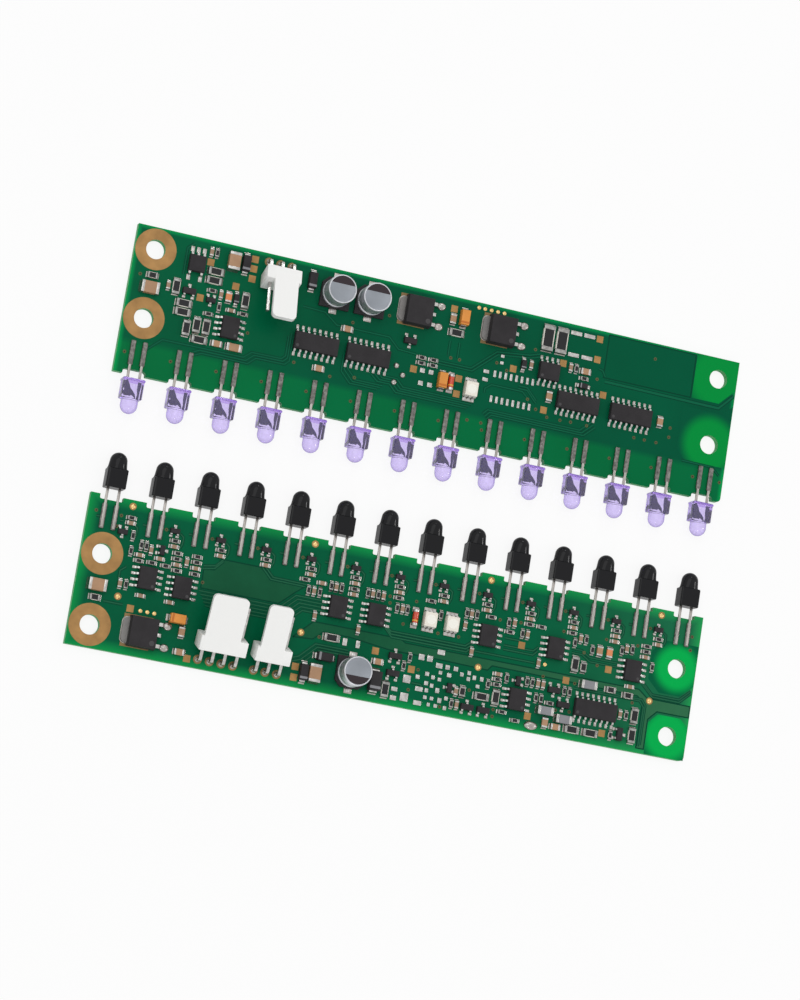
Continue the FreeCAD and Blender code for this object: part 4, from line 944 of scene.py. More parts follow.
class AREASENSOR_OT_copper(bpy.types.Operator):
    """Draw the traces, vias, gold rings and pads, and tinned pads"""

    bl_idname = "area_sensor.copper"
    bl_label = "Copper"

    def execute(self, context):
        for board in BOARDS:
            self.traces(board)
            self.plating(board)
        return {"FINISHED"}

    def traces(self, board):
        top = board_top(board)
        rise = top + size_of("trace_relief")
        draft = Draft()
        lines = []
        for first, count, step in TRACES[board]:
            for k in range(count):
                lines.append([(x + k * step[0], y + k * step[1]) for x, y in first])
        lifts = [k * TRACE_STEP for k in range(len(lines))]
        if board == "receiver":
            left = board_box(board)[0].x
            for x in beam_places(board)[:-1]:
                lines += [[(x - left + dx, y) for dx, y in line] for line in CHANNEL_TRACES]
            lifts += [len(lifts) * TRACE_STEP] * (len(lines) - len(lifts))
        wide, clear = size_of("trace_width"), size_of("trace_clearance")
        for line, lift in zip(lines, lifts):
            draft.add(ribbon(at(board, line), wide + 2 * clear, top, rise + lift, "trace_gap"))
            draft.add(ribbon(at(board, line), wide, top, rise + CORE_STEP + lift, f"{board}_trace"))
        radius = size_of("via_diameter") / 2
        for place in VIAS[board]:
            x, y = spot(board, *place)
            bore = circle(x, y, radius * VIA_BORE, BORE_SIDES)
            draft.add(plated(board, circle(x, y, radius, VIA_SIDES), "via_ring", [bore]))
            # The dark disc over the bore is painted shade where the via's hole is
            draft.add(plated(board, bore, "dark_hole", rise="trace_relief"))
        draft.build(f"{board}_traces_and_vias", slot="solder_mask")

    def plating(self, board):
        top = board_top(board)
        gold = Draft()
        for x, y, radius in mounting_holes(board)[:2]:
            ring = circle(x, y, size_of("ring_diameter") / 2, RING_SIDES)
            gold.add(plated(board, ring, "gold_plate", [circle(x, y, radius, HOLE_SIDES)]))
        side = size_of("test_pad")
        for place in GOLD_PADS[board]:
            gold.add(plated(board, rectangle(*spot(board, *place), side, side), "gold_plate"))
        radius = size_of("plated_diameter") / 2
        dome = lathe([(share * radius, height) for share, height in PLATED_DOME], ["bright_gold"] * 2, 20)
        for place in PLATED_HOLES[board]:
            x, y = spot(board, *place)
            gold.add(plated(board, circle(x, y, radius, PAD_SIDES), "gold_plate"))
            gold.add(dome.moved(x, y, top))
        dome = lathe(FILLED_DOME, ["bright_gold"] * 2, 16)
        for place in FILLED_VIAS[board]:
            gold.add(dome.moved(*spot(board, *place), top))
        gold.build(f"{board}_gold_plating")
        tinned = Draft()
        for x, y, wide, high in SOLDER_HEAPS[board]:
            tinned.add(blob(wide, high, HEAP_RISE * high).moved(*spot(board, x, y), top))
        for x, y, wide, high in TIN_PADS[board]:
            mound = block(wide, high, TIN_HEIGHT, "tin", TIN_BEVEL, 3)
            tinned.add(mound.moved(*spot(board, x, y), top))
        tinned.build(f"{board}_tinned_pads", slot="tinned_metal")


# Lamps, sensors and their leads

# Lenses: length of the block, diameter of the nose, how much wider it is at the block, how far the flange
# stands out, and the finishes of the lens and of its flange; the lamp's flange finish is painted shade
Lens = namedtuple("Lens", "block nose waist flange finish foot")
LAMP = Lens(4.3, 3.7, 0.0, 0.16, "lamp_epoxy", "lamp_flange")
SENSOR = Lens(4.1, 3.7, 0.3, 0.0, "sensor_epoxy", "sensor_epoxy")
LENS_SIDES = 48
LENS_EDGE = 0.14
FLANGE_LENGTH = 0.45
FLANGE_BANDS = 3
# Where the nose leaves the block and part of the way along: share of the waist, least distance from the
# block's faces, and share of the straight part
NECKS = ((1.0, 0.15, 0.0), (0.5, 0.1, 0.3))
NOSE_STEPS = 9
# Shapes of a ring, from an ellipse to nearly a box
ROUND, BOXY = 2, 12
# Lead-frame plates of a lamp, seen from above with the leads at the top: across and along the beam
FRAME_PLATES = [
    [(-1.65, 0.5), (-1.2, 0.3), (-0.65, 1.2), (-0.35, 1.9), (0.25, 2.45), (0.75, 3.0), (1.0, 3.75),
     (0.6, 3.5), (0.1, 3.2), (-0.25, 3.5), (-0.5, 3.4), (-1.4, 3.55), (-1.75, 3.0), (-1.5, 2.3),
     (-1.75, 1.55)],
    [(1.1, 0.5), (1.8, 0.5), (1.8, 1.3), (1.7, 2.5), (1.65, 4.25), (1.05, 4.2), (1.3, 3.0), (1.1, 1.9)],
]
FRAME_THICK = 0.4
LEAD_BEVEL = 0.09
STRIP_BEVEL = 0.2
# Solder past the inner end of a lead
STRIP_PAST = 0.25


def boxy_ring(half_wide, half_thick, height, shape):
    """A ring between an ellipse and a box, at a height along the beam."""
    ring = []
    for k in range(LENS_SIDES):
        turn = 2 * math.pi * (k + 0.5) / LENS_SIDES
        c, s = math.cos(turn), math.sin(turn)
        x = half_wide * math.copysign(abs(c) ** (2 / shape), c)
        y = half_thick * math.copysign(abs(s) ** (2 / shape), s)
        ring.append((x, y, height))
    return ring


def lens_skin(lens, solid):
    """A lens block with its flange and round nose, one closed skin with the beam along +Z."""
    wide, thick, radius = solid.size.x / 2, solid.size.z / 2, lens.nose / 2
    flanged = wide + lens.flange
    straight = solid.size.y - lens.block - radius
    rows = [(flanged - LENS_EDGE, thick - LENS_EDGE, 0, BOXY),
            (flanged, thick, LENS_EDGE, BOXY),
            (flanged, thick, FLANGE_LENGTH, BOXY),
            (wide, thick, FLANGE_LENGTH + LENS_EDGE, BOXY),
            (wide, thick, lens.block - LENS_EDGE, BOXY),
            (wide - LENS_EDGE, thick - LENS_EDGE, lens.block, BOXY)]
    for share, margin, along in NECKS:
        neck = radius + lens.waist * share
        rows.append((neck, min(neck, thick - margin), lens.block + straight * along, ROUND))
    for k in range(NOSE_STEPS):
        turn = math.pi / 2 * k / NOSE_STEPS
        across = radius * math.cos(turn)
        rows.append((across, across, lens.block + straight + radius * math.sin(turn), ROUND))
    finishes = [lens.foot] * FLANGE_BANDS + [lens.finish] * (len(rows) - 1 - FLANGE_BANDS)
    return skin([boxy_ring(*row) for row in rows], finishes)


def beam_row(board, draft):
    """What is drawn along +Z, in the place of each lens of a board, with its beam across the gap."""
    whole = Draft()
    for solid in solids_of(LENSES[board]):
        back = solid.high.y if board == "emitter" else solid.low.y
        place = Matrix.Translation((solid.centre.x, back, solid.centre.z))
        whole.add(draft, place @ rotation(90 if board == "emitter" else -90, "X"))
    return whole


class AREASENSOR_OT_lamps(bpy.types.Operator):
    """Make the clear lamp lenses and the plates inside them"""

    bl_idname = "area_sensor.lamps"
    bl_label = "Lamps"

    def execute(self, context):
        node = LENSES["emitter"]
        row = beam_row("emitter", lens_skin(LAMP, solids_of(node)[0]))
        row.build("emitter_lamp_epoxy", node, slot="lamp_epoxy", smooth_below=LENS_SMOOTH_BELOW)
        plates = Draft()
        for outline in FRAME_PLATES:
            plates.add(sheet(outline, -FRAME_THICK / 2, FRAME_THICK / 2, "lead_frame").turned(90, "X"))
        beam_row("emitter", plates).build("emitter_lead_frames")
        return {"FINISHED"}


class AREASENSOR_OT_sensors(bpy.types.Operator):
    """Make the near-black sensor lenses"""

    bl_idname = "area_sensor.sensors"
    bl_label = "Sensors"

    def execute(self, context):
        node = LENSES["receiver"]
        row = beam_row("receiver", lens_skin(SENSOR, solids_of(node)[0]))
        row.build("receiver_sensor_epoxy", node, slot="sensor_epoxy")
        return {"FINISHED"}


class AREASENSOR_OT_leads(bpy.types.Operator):
    """Make the leads of lamps and sensors and the solder along them"""

    bl_idname = "area_sensor.leads"
    bl_label = "Leads"

    def execute(self, context):
        long, wide = size_of("strip_length"), size_of("strip_width")
        inward = long / 2 - STRIP_PAST
        for board, node in LEADS.items():
            draft = Draft()
            strip = block(wide, long, size_of(f"{board}_strip"), "dull_solder", STRIP_BEVEL, 3)
            for solid in solids_of(node):
                draft.add(block(*solid.size, "lead_wire", LEAD_BEVEL).moved(*foot(solid)))
                middle = solid.high.y - inward if board == "emitter" else solid.low.y + inward
                draft.add(strip.moved(solid.centre.x, middle, solid.low.z))
            draft.build(f"{board}_soldered_leads", node, slot="tinned_metal")
        return {"FINISHED"}


# Plug headers

HEADER_TILT = 18.0
HEADER_PITCH = 2.54
HEADER_DEPTH = 3.2
HEADER_HEIGHT = 5.2
HEADER_SETBACK = 3.1
HEADER_PIN = 0.64
PIN_HEIGHT = 2.9
PIN_REACH = 6.9
PLATE_THICK = 1.1
PLATE_REACH = 9.0
PLATE_INSET = 0.6
PLATE_CORNER = 1.0
PLATE_BACK = 0.2
PLATE_SPARE = 0.1
# The base ends just below the face of the plate
BASE_DROP = 0.02
RIDGE_OFFSET = 2.0
RIDGE_DEPTH = 1.4
RIDGE_HEIGHT = 0.5
RIDGE_SUNK = 0.05
RIDGE_BEVEL = 0.2
# A pin goes down to the underside of the board, and turns over a short run
PIN_DROP = 1.6
PIN_TURN = [(0, -0.25), (0.12, -0.02)]
PIN_STRAIGHT = 0.4
# Pad and solder round a pin: radius and height
COLLAR = [(0.95, 0), (0.95, 0.05), (0.6, 0.2), (0.42, 0.5)]


def header_drafts(ways):
    """Housing and pins of a header: the pin row at the origin on the board, the plug side along +Y."""
    width = ways * HEADER_PITCH
    plate_wide = (ways - 1) * HEADER_PITCH + PLATE_SPARE
    left = -width / 2 + PLATE_INSET
    right = left + plate_wide
    tip = HEADER_DEPTH + PLATE_REACH
    under = HEADER_HEIGHT - PLATE_THICK
    tilt = Matrix.Translation((0, HEADER_SETBACK, 0)) @ rotation(HEADER_TILT, "X")
    base = block(width, HEADER_DEPTH, HEADER_HEIGHT - BASE_DROP, "header_nylon", size_of("header_bevel"))
    housing = Draft().add(base, tilt @ Matrix.Translation((0, HEADER_DEPTH / 2, 0)))
    outline = [(left, PLATE_BACK), (right, PLATE_BACK)]
    outline += corner_arc(right - PLATE_CORNER, tip - PLATE_CORNER, PLATE_CORNER, 0)
    outline += corner_arc(left + PLATE_CORNER, tip - PLATE_CORNER, PLATE_CORNER, 90)
    housing.add(sheet(outline, under, HEADER_HEIGHT, "header_nylon"), tilt)
    ridge = block(plate_wide - PLATE_SPARE, RIDGE_DEPTH, RIDGE_HEIGHT, "header_nylon", RIDGE_BEVEL)
    middle = ((left + right) / 2, tip - RIDGE_OFFSET - RIDGE_DEPTH / 2, under - RIDGE_HEIGHT + RIDGE_SUNK)
    housing.add(ridge, tilt @ Matrix.Translation(middle))
    angle = math.radians(HEADER_TILT)
    behind = (HEADER_SETBACK - PIN_HEIGHT * math.sin(angle)) / math.cos(angle)
    bend = PIN_HEIGHT * math.cos(angle) - behind * math.sin(angle)
    run = behind + HEADER_DEPTH + PIN_REACH
    line = [(0, -PIN_DROP), *((x, bend + z) for x, z in PIN_TURN),
            (PIN_STRAIGHT, bend + PIN_STRAIGHT * math.tan(angle)),
            (run * math.cos(angle), bend + run * math.sin(angle))]
    pin = strap(line, HEADER_PIN, HEADER_PIN, "tin").turned(90)
    pin.add(lathe(COLLAR, ["worn_gold", "worn_gold", "solder"], 24))
    pins = Draft()
    for k in range(ways):
        pins.add(pin.moved((k - (ways - 1) / 2) * HEADER_PITCH))
    return housing, pins


class AREASENSOR_OT_headers(bpy.types.Operator):
    """Make the plug headers with their bent pins"""

    bl_idname = "area_sensor.headers"
    bl_label = "Headers"

    def execute(self, context):
        for board, name, ways in (("emitter", "emitter_header", 3), ("receiver", "receiver_wide_header", 4),
                                  ("receiver", "receiver_narrow_header", 3)):
            housing, pins = header_drafts(ways)
            low, high = (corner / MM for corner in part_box(f"{name}_pins"))
            back = high.y - HEADER_PIN / 2 if board == "emitter" else low.y + HEADER_PIN / 2
            place = Matrix.Translation(((low.x + high.x) / 2, back, board_top(board)))
            if board == "emitter":
                place = place @ rotation(180)
            Draft().add(housing, place).build(f"{name}_nylon", f"{name}_housing", slot="header_nylon")
            Draft().add(pins, place).build(f"{name}_contacts", f"{name}_pins", slot="tinned_metal")
        return {"FINISHED"}


# Capacitor cans and regulators

# The dark mark on a can faces the back edge of its board
MARK_TURN = {"emitter": 0, "receiver": 180}
# Side of a can from its foot up, and its upper edge: how far inside its radius, and how far from foot or top
CAN_SIDE = [(0.12, 0), (0, 0.12), (0, 0.75), (0.28, 1.05), (0.28, 1.3), (0, 1.6)]
CAN_EDGE = [(0, 0.3), (0.07, 0.09), (0.22, 0)]
CAN_SUNK = 0.06
CAN_RIM = 0.3
CAN_MIDDLE = 0.2
MARK_HEIGHT = 0.02
MARK_GAP = 0.01
MARK_LIMIT = 68
MARK_STEPS = 20
BASE_CUT = 1.3
TAB_BEVEL = 0.05
# Solder round a can's tab: past its ends, past its sides, and its height
TAB_SOLDER = (0.9, 0.5, 0.14)


class AREASENSOR_OT_cans(bpy.types.Operator):
    """Make the electrolytic capacitors: cans, bases and tabs"""

    bl_idname = "area_sensor.cans"
    bl_label = "Cans"

    def execute(self, context):
        ahead, aside, high = TAB_SOLDER
        for board, plural in (("emitter", "s"), ("receiver", "")):
            cans, bases, tabs = Draft(), Draft(), Draft()
            for solid in solids_of(f"{board}_capacitor_can{plural}"):
                can = self.can(solid.size.x / 2, solid.size.z).turned(MARK_TURN[board])
                cans.add(can.moved(*foot(solid)))
            for solid in solids_of(f"{board}_capacitor_base{plural}"):
                half, cut = solid.size.x / 2, solid.size.x / 2 - BASE_CUT
                outline = [(-half, -half), (half, -half), (half, cut), (cut, half), (-cut, half),
                           (-half, cut)]
                base = sheet(outline, 0, solid.size.z, "moulding")
                base = base if board == "emitter" else base.turned(180)
                bases.add(base.moved(*foot(solid)))
            for solid in solids_of(f"{board}_capacitor_tabs"):
                long, wide, thick = solid.size
                tabs.add(block(long, wide, thick, "tin", TAB_BEVEL).moved(*foot(solid)))
                tabs.add(block(long + ahead, wide + aside, high, "solder", TAB_BEVEL).moved(*foot(solid)))
            cans.build(f"{board}_can_shell{plural}", f"{board}_capacitor_can{plural}", slot="can_aluminium")
            bases.build(f"{board}_can_foot{plural}", f"{board}_capacitor_base{plural}", slot="base_plastic")
            tabs.build(f"{board}_can_tabs", f"{board}_capacitor_tabs", slot="tinned_metal")
        return {"FINISHED"}

    @staticmethod
    def can(radius, high):
        """A drawn can with a groove above its foot and a dark mark on its top."""
        face = high - CAN_SUNK
        profile = [(radius - inset, height) for inset, height in CAN_SIDE]
        profile += [(radius - inset, high - drop) for inset, drop in CAN_EDGE]
        profile += [(radius - CAN_RIM, face), (CAN_MIDDLE, face)]
        made = lathe(profile, ["can_aluminium"] * (len(profile) - 2) + ["can_top"], 56)
        reach = radius - CAN_RIM - MARK_GAP
        steps = (2 * k / MARK_STEPS - 1 for k in range(MARK_STEPS + 1))
        turns = [math.radians(90 + MARK_LIMIT * step) for step in steps]
        segment = [(reach * math.cos(turn), reach * math.sin(turn)) for turn in turns]
        return made.add(sheet(segment, face, face + MARK_HEIGHT, "can_mark"))


BODY_LEAN = 0.18
# Mark on a regulator, as disc takes it, and its place from the right side, the lower side and the top
BODY_MARK = (0.55, 0.01, 0.5, 0.015, "moulding_mark", 24)
BODY_MARK_PLACE = (1.1, 1.2, 0.005)
# Bare land beside a regulator's plate: offset from the plate, length and width
LAND_OFFSET, LAND_LONG, LAND_WIDE = 2.55, 6.2, 6.9
BENT_LEAD = 0.45
BENT_LEAD_SPREAD = 0.05
STUB_LENGTH = 1.5
STUB_BEVEL = 0.06
# Heap of solder at the foot of a bent lead: length, more than its width, height, and from the lead's end
LEAD_HEAP = (2.1, 1.0, 0.62, 0.65)
# Layers of a regulator's plate: how far each stands out, its corners, its lower face and its finish
PLATE_LAYERS = ((0.22, 1.1, 0, "solder"), (0, 1.0, 0.16, "heat_plate"))
PLATE_UNDER_BODY = 0.4


class AREASENSOR_OT_regulators(bpy.types.Operator):
    """Make the regulators: bodies, tabs and leads"""

    bl_idname = "area_sensor.regulators"
    bl_label = "Regulators"

    def execute(self, context):
        for board, body, tab in (("emitter", "bodies", "tabs"), ("receiver", "body", "tab")):
            bodies, tabs, leads = Draft(), Draft(), Draft()
            for solid in solids_of(f"{board}_regulator_{body}"):
                bodies.add(self.body(*solid.size).moved(*foot(solid)))
            for solid in solids_of(f"{board}_regulator_{tab}"):
                tabs.add(self.tab(*solid.size).moved(solid.high.x, solid.centre.y, solid.low.z))
                land = rectangle(solid.centre.x + LAND_OFFSET, solid.centre.y, LAND_LONG, LAND_WIDE)
                tabs.add(plated(board, land, "worn_gold"))
            for solid in solids_of(f"{board}_regulator_leads"):
                leads.add(self.lead(*solid.size).moved(solid.low.x, solid.centre.y, solid.low.z))
            bodies.build(f"{board}_regulator_moulding", f"{board}_regulator_{body}", slot="mould_compound")
            tabs.build(f"{board}_regulator_plate", f"{board}_regulator_{tab}", slot="tinned_metal")
            leads.build(f"{board}_regulator_bent_leads", f"{board}_regulator_leads", slot="tinned_metal")
        return {"FINISHED"}

    @staticmethod
    def body(long, wide, high):
        made = block(long, wide, high, "moulding", size_of("body_bevel"), 2, 0, BODY_LEAN)
        aside, ahead, sunk = BODY_MARK_PLACE
        return made.add(disc(*BODY_MARK).moved(long / 2 - aside, -wide / 2 + ahead, high - sunk))

    @staticmethod
    def lead(reach, wide, high):
        """A lead along +X from the body: a short stub, or bent down to the board with solder at its foot."""
        if reach < STUB_LENGTH:
            return block(reach, wide, high, "tin", STUB_BEVEL).moved(reach / 2)
        rise, level = high - BENT_LEAD / 2, BENT_LEAD / 2
        line = [(0, rise), (reach * 0.28, rise), (reach * 0.46, level + BENT_LEAD_SPREAD), (reach, level)]
        long, more, heap, back = LEAD_HEAP
        made = strap(line, BENT_LEAD, wide, "tin")
        return made.add(blob(long, wide + more, heap).moved(reach - back))

    @staticmethod
    def tab(out, wide, thick):
        """The end of a regulator's metal plate, with rounded corners and a rim of solder."""
        made = Draft()
        tops = (PLATE_LAYERS[1][2], thick)
        for (extra, corner, low, finish), high in zip(PLATE_LAYERS, tops):
            half = wide / 2 + extra
            left = -out - extra
            outline = [(PLATE_UNDER_BODY, -half), (PLATE_UNDER_BODY, half),
                       *corner_arc(left + corner, half - corner, corner, 90),
                       *corner_arc(left + corner, corner - half, corner, 180)]
            made.add(sheet(outline, low, high, finish))
        return made


# Chips and small parts

CHIP_STANDOFF = 0.12
# Height of a chip's parting line, as a share of its height, and how far its body leans in above and below
PARTING = 0.48
CHIP_LEAN = 0.13
CHIP_TUCK = 0.1
# Dimple by the first pin, as disc takes it, and how far it lies from the sides and in the top
CHIP_MARK = (0.34, 0.012, 0.3, 0.014, "moulding_mark", 20)
CHIP_MARK_INSET = 0.75
MARK_SUNK = 0.006


class AREASENSOR_OT_chips(bpy.types.Operator):
    """Make the chips and their bent pins"""

    bl_idname = "area_sensor.chips"
    bl_label = "Chips"

    def execute(self, context):
        groups = {"emitter": ("emitter_logic_chips", "emitter_driver_chips"),
                  "receiver": ("receiver_amplifier_chips", "receiver_logic_chip")}
        for board, nodes in groups.items():
            bodies = []
            for node in nodes:
                draft = Draft()
                for solid in solids_of(node):
                    bodies.append(solid)
                    draft.add(self.body(*long_wide_high(solid)), seat(solid))
                draft.build(f"{node}_moulding", node, slot="mould_compound")
            pins = Draft()
            for solid in solids_of(f"{board}_chip_pins"):
                body = min(bodies, key=lambda chip: (chip.centre - solid.centre).length
                           - max(chip.size.xy) / 2)
                pins.add(self.pin(solid), self.pin_seat(solid, body))
            pins.build(f"{board}_chip_bent_pins", f"{board}_chip_pins", slot="tinned_metal")
        return {"FINISHED"}

    @staticmethod
    def body(long, wide, high):
        """A moulded body that tapers both ways from its parting line, with a dimple by the first pin."""
        middle = high * PARTING
        made = block(long, wide, high - middle, "moulding", size_of("body_bevel"), 2, middle, CHIP_LEAN)
        made.add(block(long - 2 * CHIP_TUCK, wide - 2 * CHIP_TUCK, middle - CHIP_STANDOFF, "moulding",
                       low=CHIP_STANDOFF))
        place = (CHIP_MARK_INSET - long / 2, CHIP_MARK_INSET - wide / 2, high - MARK_SUNK)
        return made.add(disc(*CHIP_MARK).moved(*place))

    @staticmethod
    def pin(solid):
        """A gull-wing pin drawn along +X from the body, with a little solder round its foot."""
        thick = size_of("pin_thickness")
        reach, wide = max(solid.size.xy), min(solid.size.xy)
        rise, level = solid.size.z - thick / 2, thick / 2
        line = [(-0.1, rise), (reach * 0.22, rise), (reach * 0.34, rise - 0.08), (reach * 0.52, level + 0.07),
                (reach * 0.64, level), (reach, level)]
        solder = block(reach * 0.85, wide + 0.16, 0.12, "solder", 0.05)
        return strap(line, thick, wide, "tin").add(solder.moved(reach * 0.95))

    @staticmethod
    def pin_seat(solid, body):
        """A pin points away from its body along its own longer side."""
        offset = solid.centre - body.centre
        if is_across(solid):
            turn = 90 if offset.y > 0 else -90
            start = (solid.centre.x, solid.low.y if offset.y > 0 else solid.high.y, solid.low.z)
        else:
            turn = 0 if offset.x > 0 else 180
            start = (solid.low.x if offset.x > 0 else solid.high.x, solid.centre.y, solid.low.z)
        return Matrix.Translation(start) @ rotation(turn)


# Transistors whose pair of legs is at the top or, on one that stands across, at the left
PAIR_FIRST = {
    "emitter": [(62.6, 11.9), (17.9, 12.9)],
    "receiver": [(7.9, 7.0), (106.9, 22.1), (109.4, 24.9), (16.8, 9.2), (123.2, 28.8)],
}
# Legs: reach on a small, a large and a five-leg body, and width on a three-leg and a five-leg one
SMALL_REACH, LARGE_REACH, FIVE_REACH = 0.62, 0.75, 1.5
LEG_WIDE, FIVE_WIDE = 0.42, 0.5
LARGE_LONG = 2.5
FIVE_LEG_WIDTH = 3
FIVE_PITCH = 1.3
LEG_THICK = 0.16
# Place of each of a pair of legs, as a share of the body's length
PAIR_SHARE = 0.33
TRANSISTOR_STANDOFF = 0.08


class AREASENSOR_OT_transistors(bpy.types.Operator):
    """Make the small transistors with their legs"""

    bl_idname = "area_sensor.transistors"
    bl_label = "Transistors"

    def execute(self, context):
        for board in BOARDS:
            node = f"{board}_transistors"
            draft = Draft()
            for solid in solids_of(node):
                long, wide, high = long_wide_high(solid)
                flip = near(board, solid, PAIR_FIRST[board])
                draft.add(self.transistor(long, wide, high), seat(solid, flip))
            draft.build(f"{board}_transistor_mouldings", node, slot="mould_compound")
        return {"FINISHED"}

    @staticmethod
    def transistor(long, wide, high):
        """A body with one leg at +Y and two at -Y, or three and two on the wide five-leg one."""
        bevel = size_of("body_bevel")
        made = block(long, wide, high - TRANSISTOR_STANDOFF, "moulding", bevel, 2, TRANSISTOR_STANDOFF, 0.08)
        if wide > FIVE_LEG_WIDTH:
            reach, leg_wide = FIVE_REACH, FIVE_WIDE
            legs = [(-FIVE_PITCH, 1), (0, 1), (FIVE_PITCH, 1), (-FIVE_PITCH, -1), (FIVE_PITCH, -1)]
        else:
            reach, leg_wide = SMALL_REACH if long < LARGE_LONG else LARGE_REACH, LEG_WIDE
            legs = [(0, 1), (-long * PAIR_SHARE, -1), (long * PAIR_SHARE, -1)]
        rise = high / 2
        line = [(-0.1, rise), (reach * 0.3, rise), (reach * 0.55, 0.12), (reach, 0.09)]
        leg = strap(line, LEG_THICK, leg_wide, "tin")
        leg.add(block(reach * 0.8, leg_wide + 0.3, 0.14, "solder", 0.06).moved(reach * 0.85))
        for x, hand in legs:
            made.add(leg.turned(90 * hand).moved(x, hand * wide / 2))
        return made


def at_both_ends(made, part, reach):
    """A piece with a part drawn along +X at its right end, and turned round at its left one."""
    for degrees, hand in ((0, 1), (180, -1)):
        made.add(part.turned(degrees).moved(hand * reach))
    return made


# Sizes of small parts: end caps of chips, tabs and bands of moulded ones
CAP_BEVEL = 0.06
BAND_HEIGHT = 0.02
BAND_PLACE = 0.34
DIODE_TAB = 0.62
DIODE_SHORTER = 0.7
DIODE_STANDOFF = 0.05
TANTALUM_TAB = 0.16


def add_caps(made, long, wide, high, finish="tin"):
    """A chip with its end caps and the solder that holds them."""
    over, cap = size_of("cap_overlap"), cap_length(long)
    end = block(cap, wide + 2 * over, high + over, finish, CAP_BEVEL).moved(-cap / 2)
    end.add(fillet(wide * 0.96, size_of("fillet"), high * 0.75))
    return at_both_ends(made, end, long / 2)


def cap_length(long):
    return 0.14 * long + 0.1


def chip_resistor(long, wide, high):
    """A ceramic chip with a dark glaze on top."""
    level = high * 0.85
    made = block(long - 0.1, wide - 0.02, level, "alumina", 0.03, 1)
    glaze = long - 2 * cap_length(long) + 0.05
    made.add(block(glaze, wide * 0.8, high * 0.18, "resistor_glaze", 0.03, 1, level))
    return add_caps(made, long, wide, high, "resistor_end")


def chip_capacitor(long, wide, high, finish):
    return add_caps(block(long - 0.1, wide, high, finish, CAP_BEVEL), long, wide, high)


def moulded_capacitor(long, wide, high):
    """A moulded body with a polarity band near one end and a tab at each end."""
    made = block(long, wide, high, "tantalum", 0.12, 2, 0, 0.06)
    band = block(long * 0.13, wide - 0.1, BAND_HEIGHT, "tantalum_band", 0, 1, high - 0.005)
    made.add(band.moved(-long * BAND_PLACE))
    end = block(TANTALUM_TAB, wide * 0.62, high * 0.55, "tin", 0.04).moved(0.02)
    end.add(fillet(wide * 0.7, 0.55, high * 0.35).moved(TANTALUM_TAB / 2))
    return at_both_ends(made, end, long / 2)


def moulded_diode(long, wide, high):
    """A moulded body with a pale band at one end and flat tabs."""
    body = long - DIODE_SHORTER
    made = block(body, wide, high, "moulding", 0.1, 2, DIODE_STANDOFF, 0.08)
    band = block(body * 0.14, wide - 0.14, BAND_HEIGHT, "grey_ceramic", low=high + DIODE_STANDOFF - MARK_SUNK)
    made.add(band.moved(-body * BAND_PLACE))
    end = block(DIODE_TAB, wide * 0.66, high * 0.42, "tin", 0.07).moved(-DIODE_TAB / 2)
    end.add(fillet(wide * 0.72, 0.4, high * 0.3))
    return at_both_ends(made, end, long / 2)


def scatter(node, name, draw, slot):
    """Draw a piece in the place of each solid of a node."""
    draft = Draft()
    for solid in solids_of(node):
        draft.add(draw(solid), seat(solid))
    draft.build(name, node, slot=slot)


class AREASENSOR_OT_resistors(bpy.types.Operator):
    """Make the chip resistors"""

    bl_idname = "area_sensor.resistors"
    bl_label = "Resistors"

    def execute(self, context):
        for node in ("emitter_power_resistors", "emitter_resistors", "receiver_resistors"):
            scatter(node, f"{node}_chips", lambda solid: chip_resistor(*long_wide_high(solid)),
                    "resistor_film")
        return {"FINISHED"}


# Chip capacitors shorter than this are of the small kind
SMALL_CHIP = 1.9
ORANGE_CHIPS = {"emitter": [(21.6, 11.4)], "receiver": [(118.3, 11.8)]}


class AREASENSOR_OT_capacitors(bpy.types.Operator):
    """Make the ceramic, block and tantalum capacitors"""

    bl_idname = "area_sensor.capacitors"
    bl_label = "Capacitors"

    def execute(self, context):
        for board in BOARDS:
            node = f"{board}_ceramic_capacitors"
            scatter(node, f"{node}_chips", lambda solid: self.ceramic(board, solid), "capacitor_ceramic")
        for node in ("emitter_tantalum_capacitors", "receiver_tantalum_capacitor"):
            scatter(node, f"{node}_mouldings", lambda solid: moulded_capacitor(*long_wide_high(solid)),
                    "tantalum_epoxy")
        node = "receiver_block_capacitors"
        scatter(node, f"{node}_chips", lambda solid: chip_capacitor(*long_wide_high(solid), "grey_ceramic"),
                "block_ceramic")
        return {"FINISHED"}

    @staticmethod
    def ceramic(board, solid):
        finish = "small_ceramic" if max(solid.size.xy) < SMALL_CHIP else "capacitor_ceramic"
        if near(board, solid, ORANGE_CHIPS[board]):
            finish = "orange_ceramic"
        return chip_capacitor(*long_wide_high(solid), finish)


# Metal end of a glass diode, place and end of its band, and how much slimmer the glass is
GLASS_END = 0.55
GLASS_START = 0.6
GLASS_BAND = (0.9, 1.2)
GLASS_SLIM = 0.9
GLASS_BEVEL = 0.06


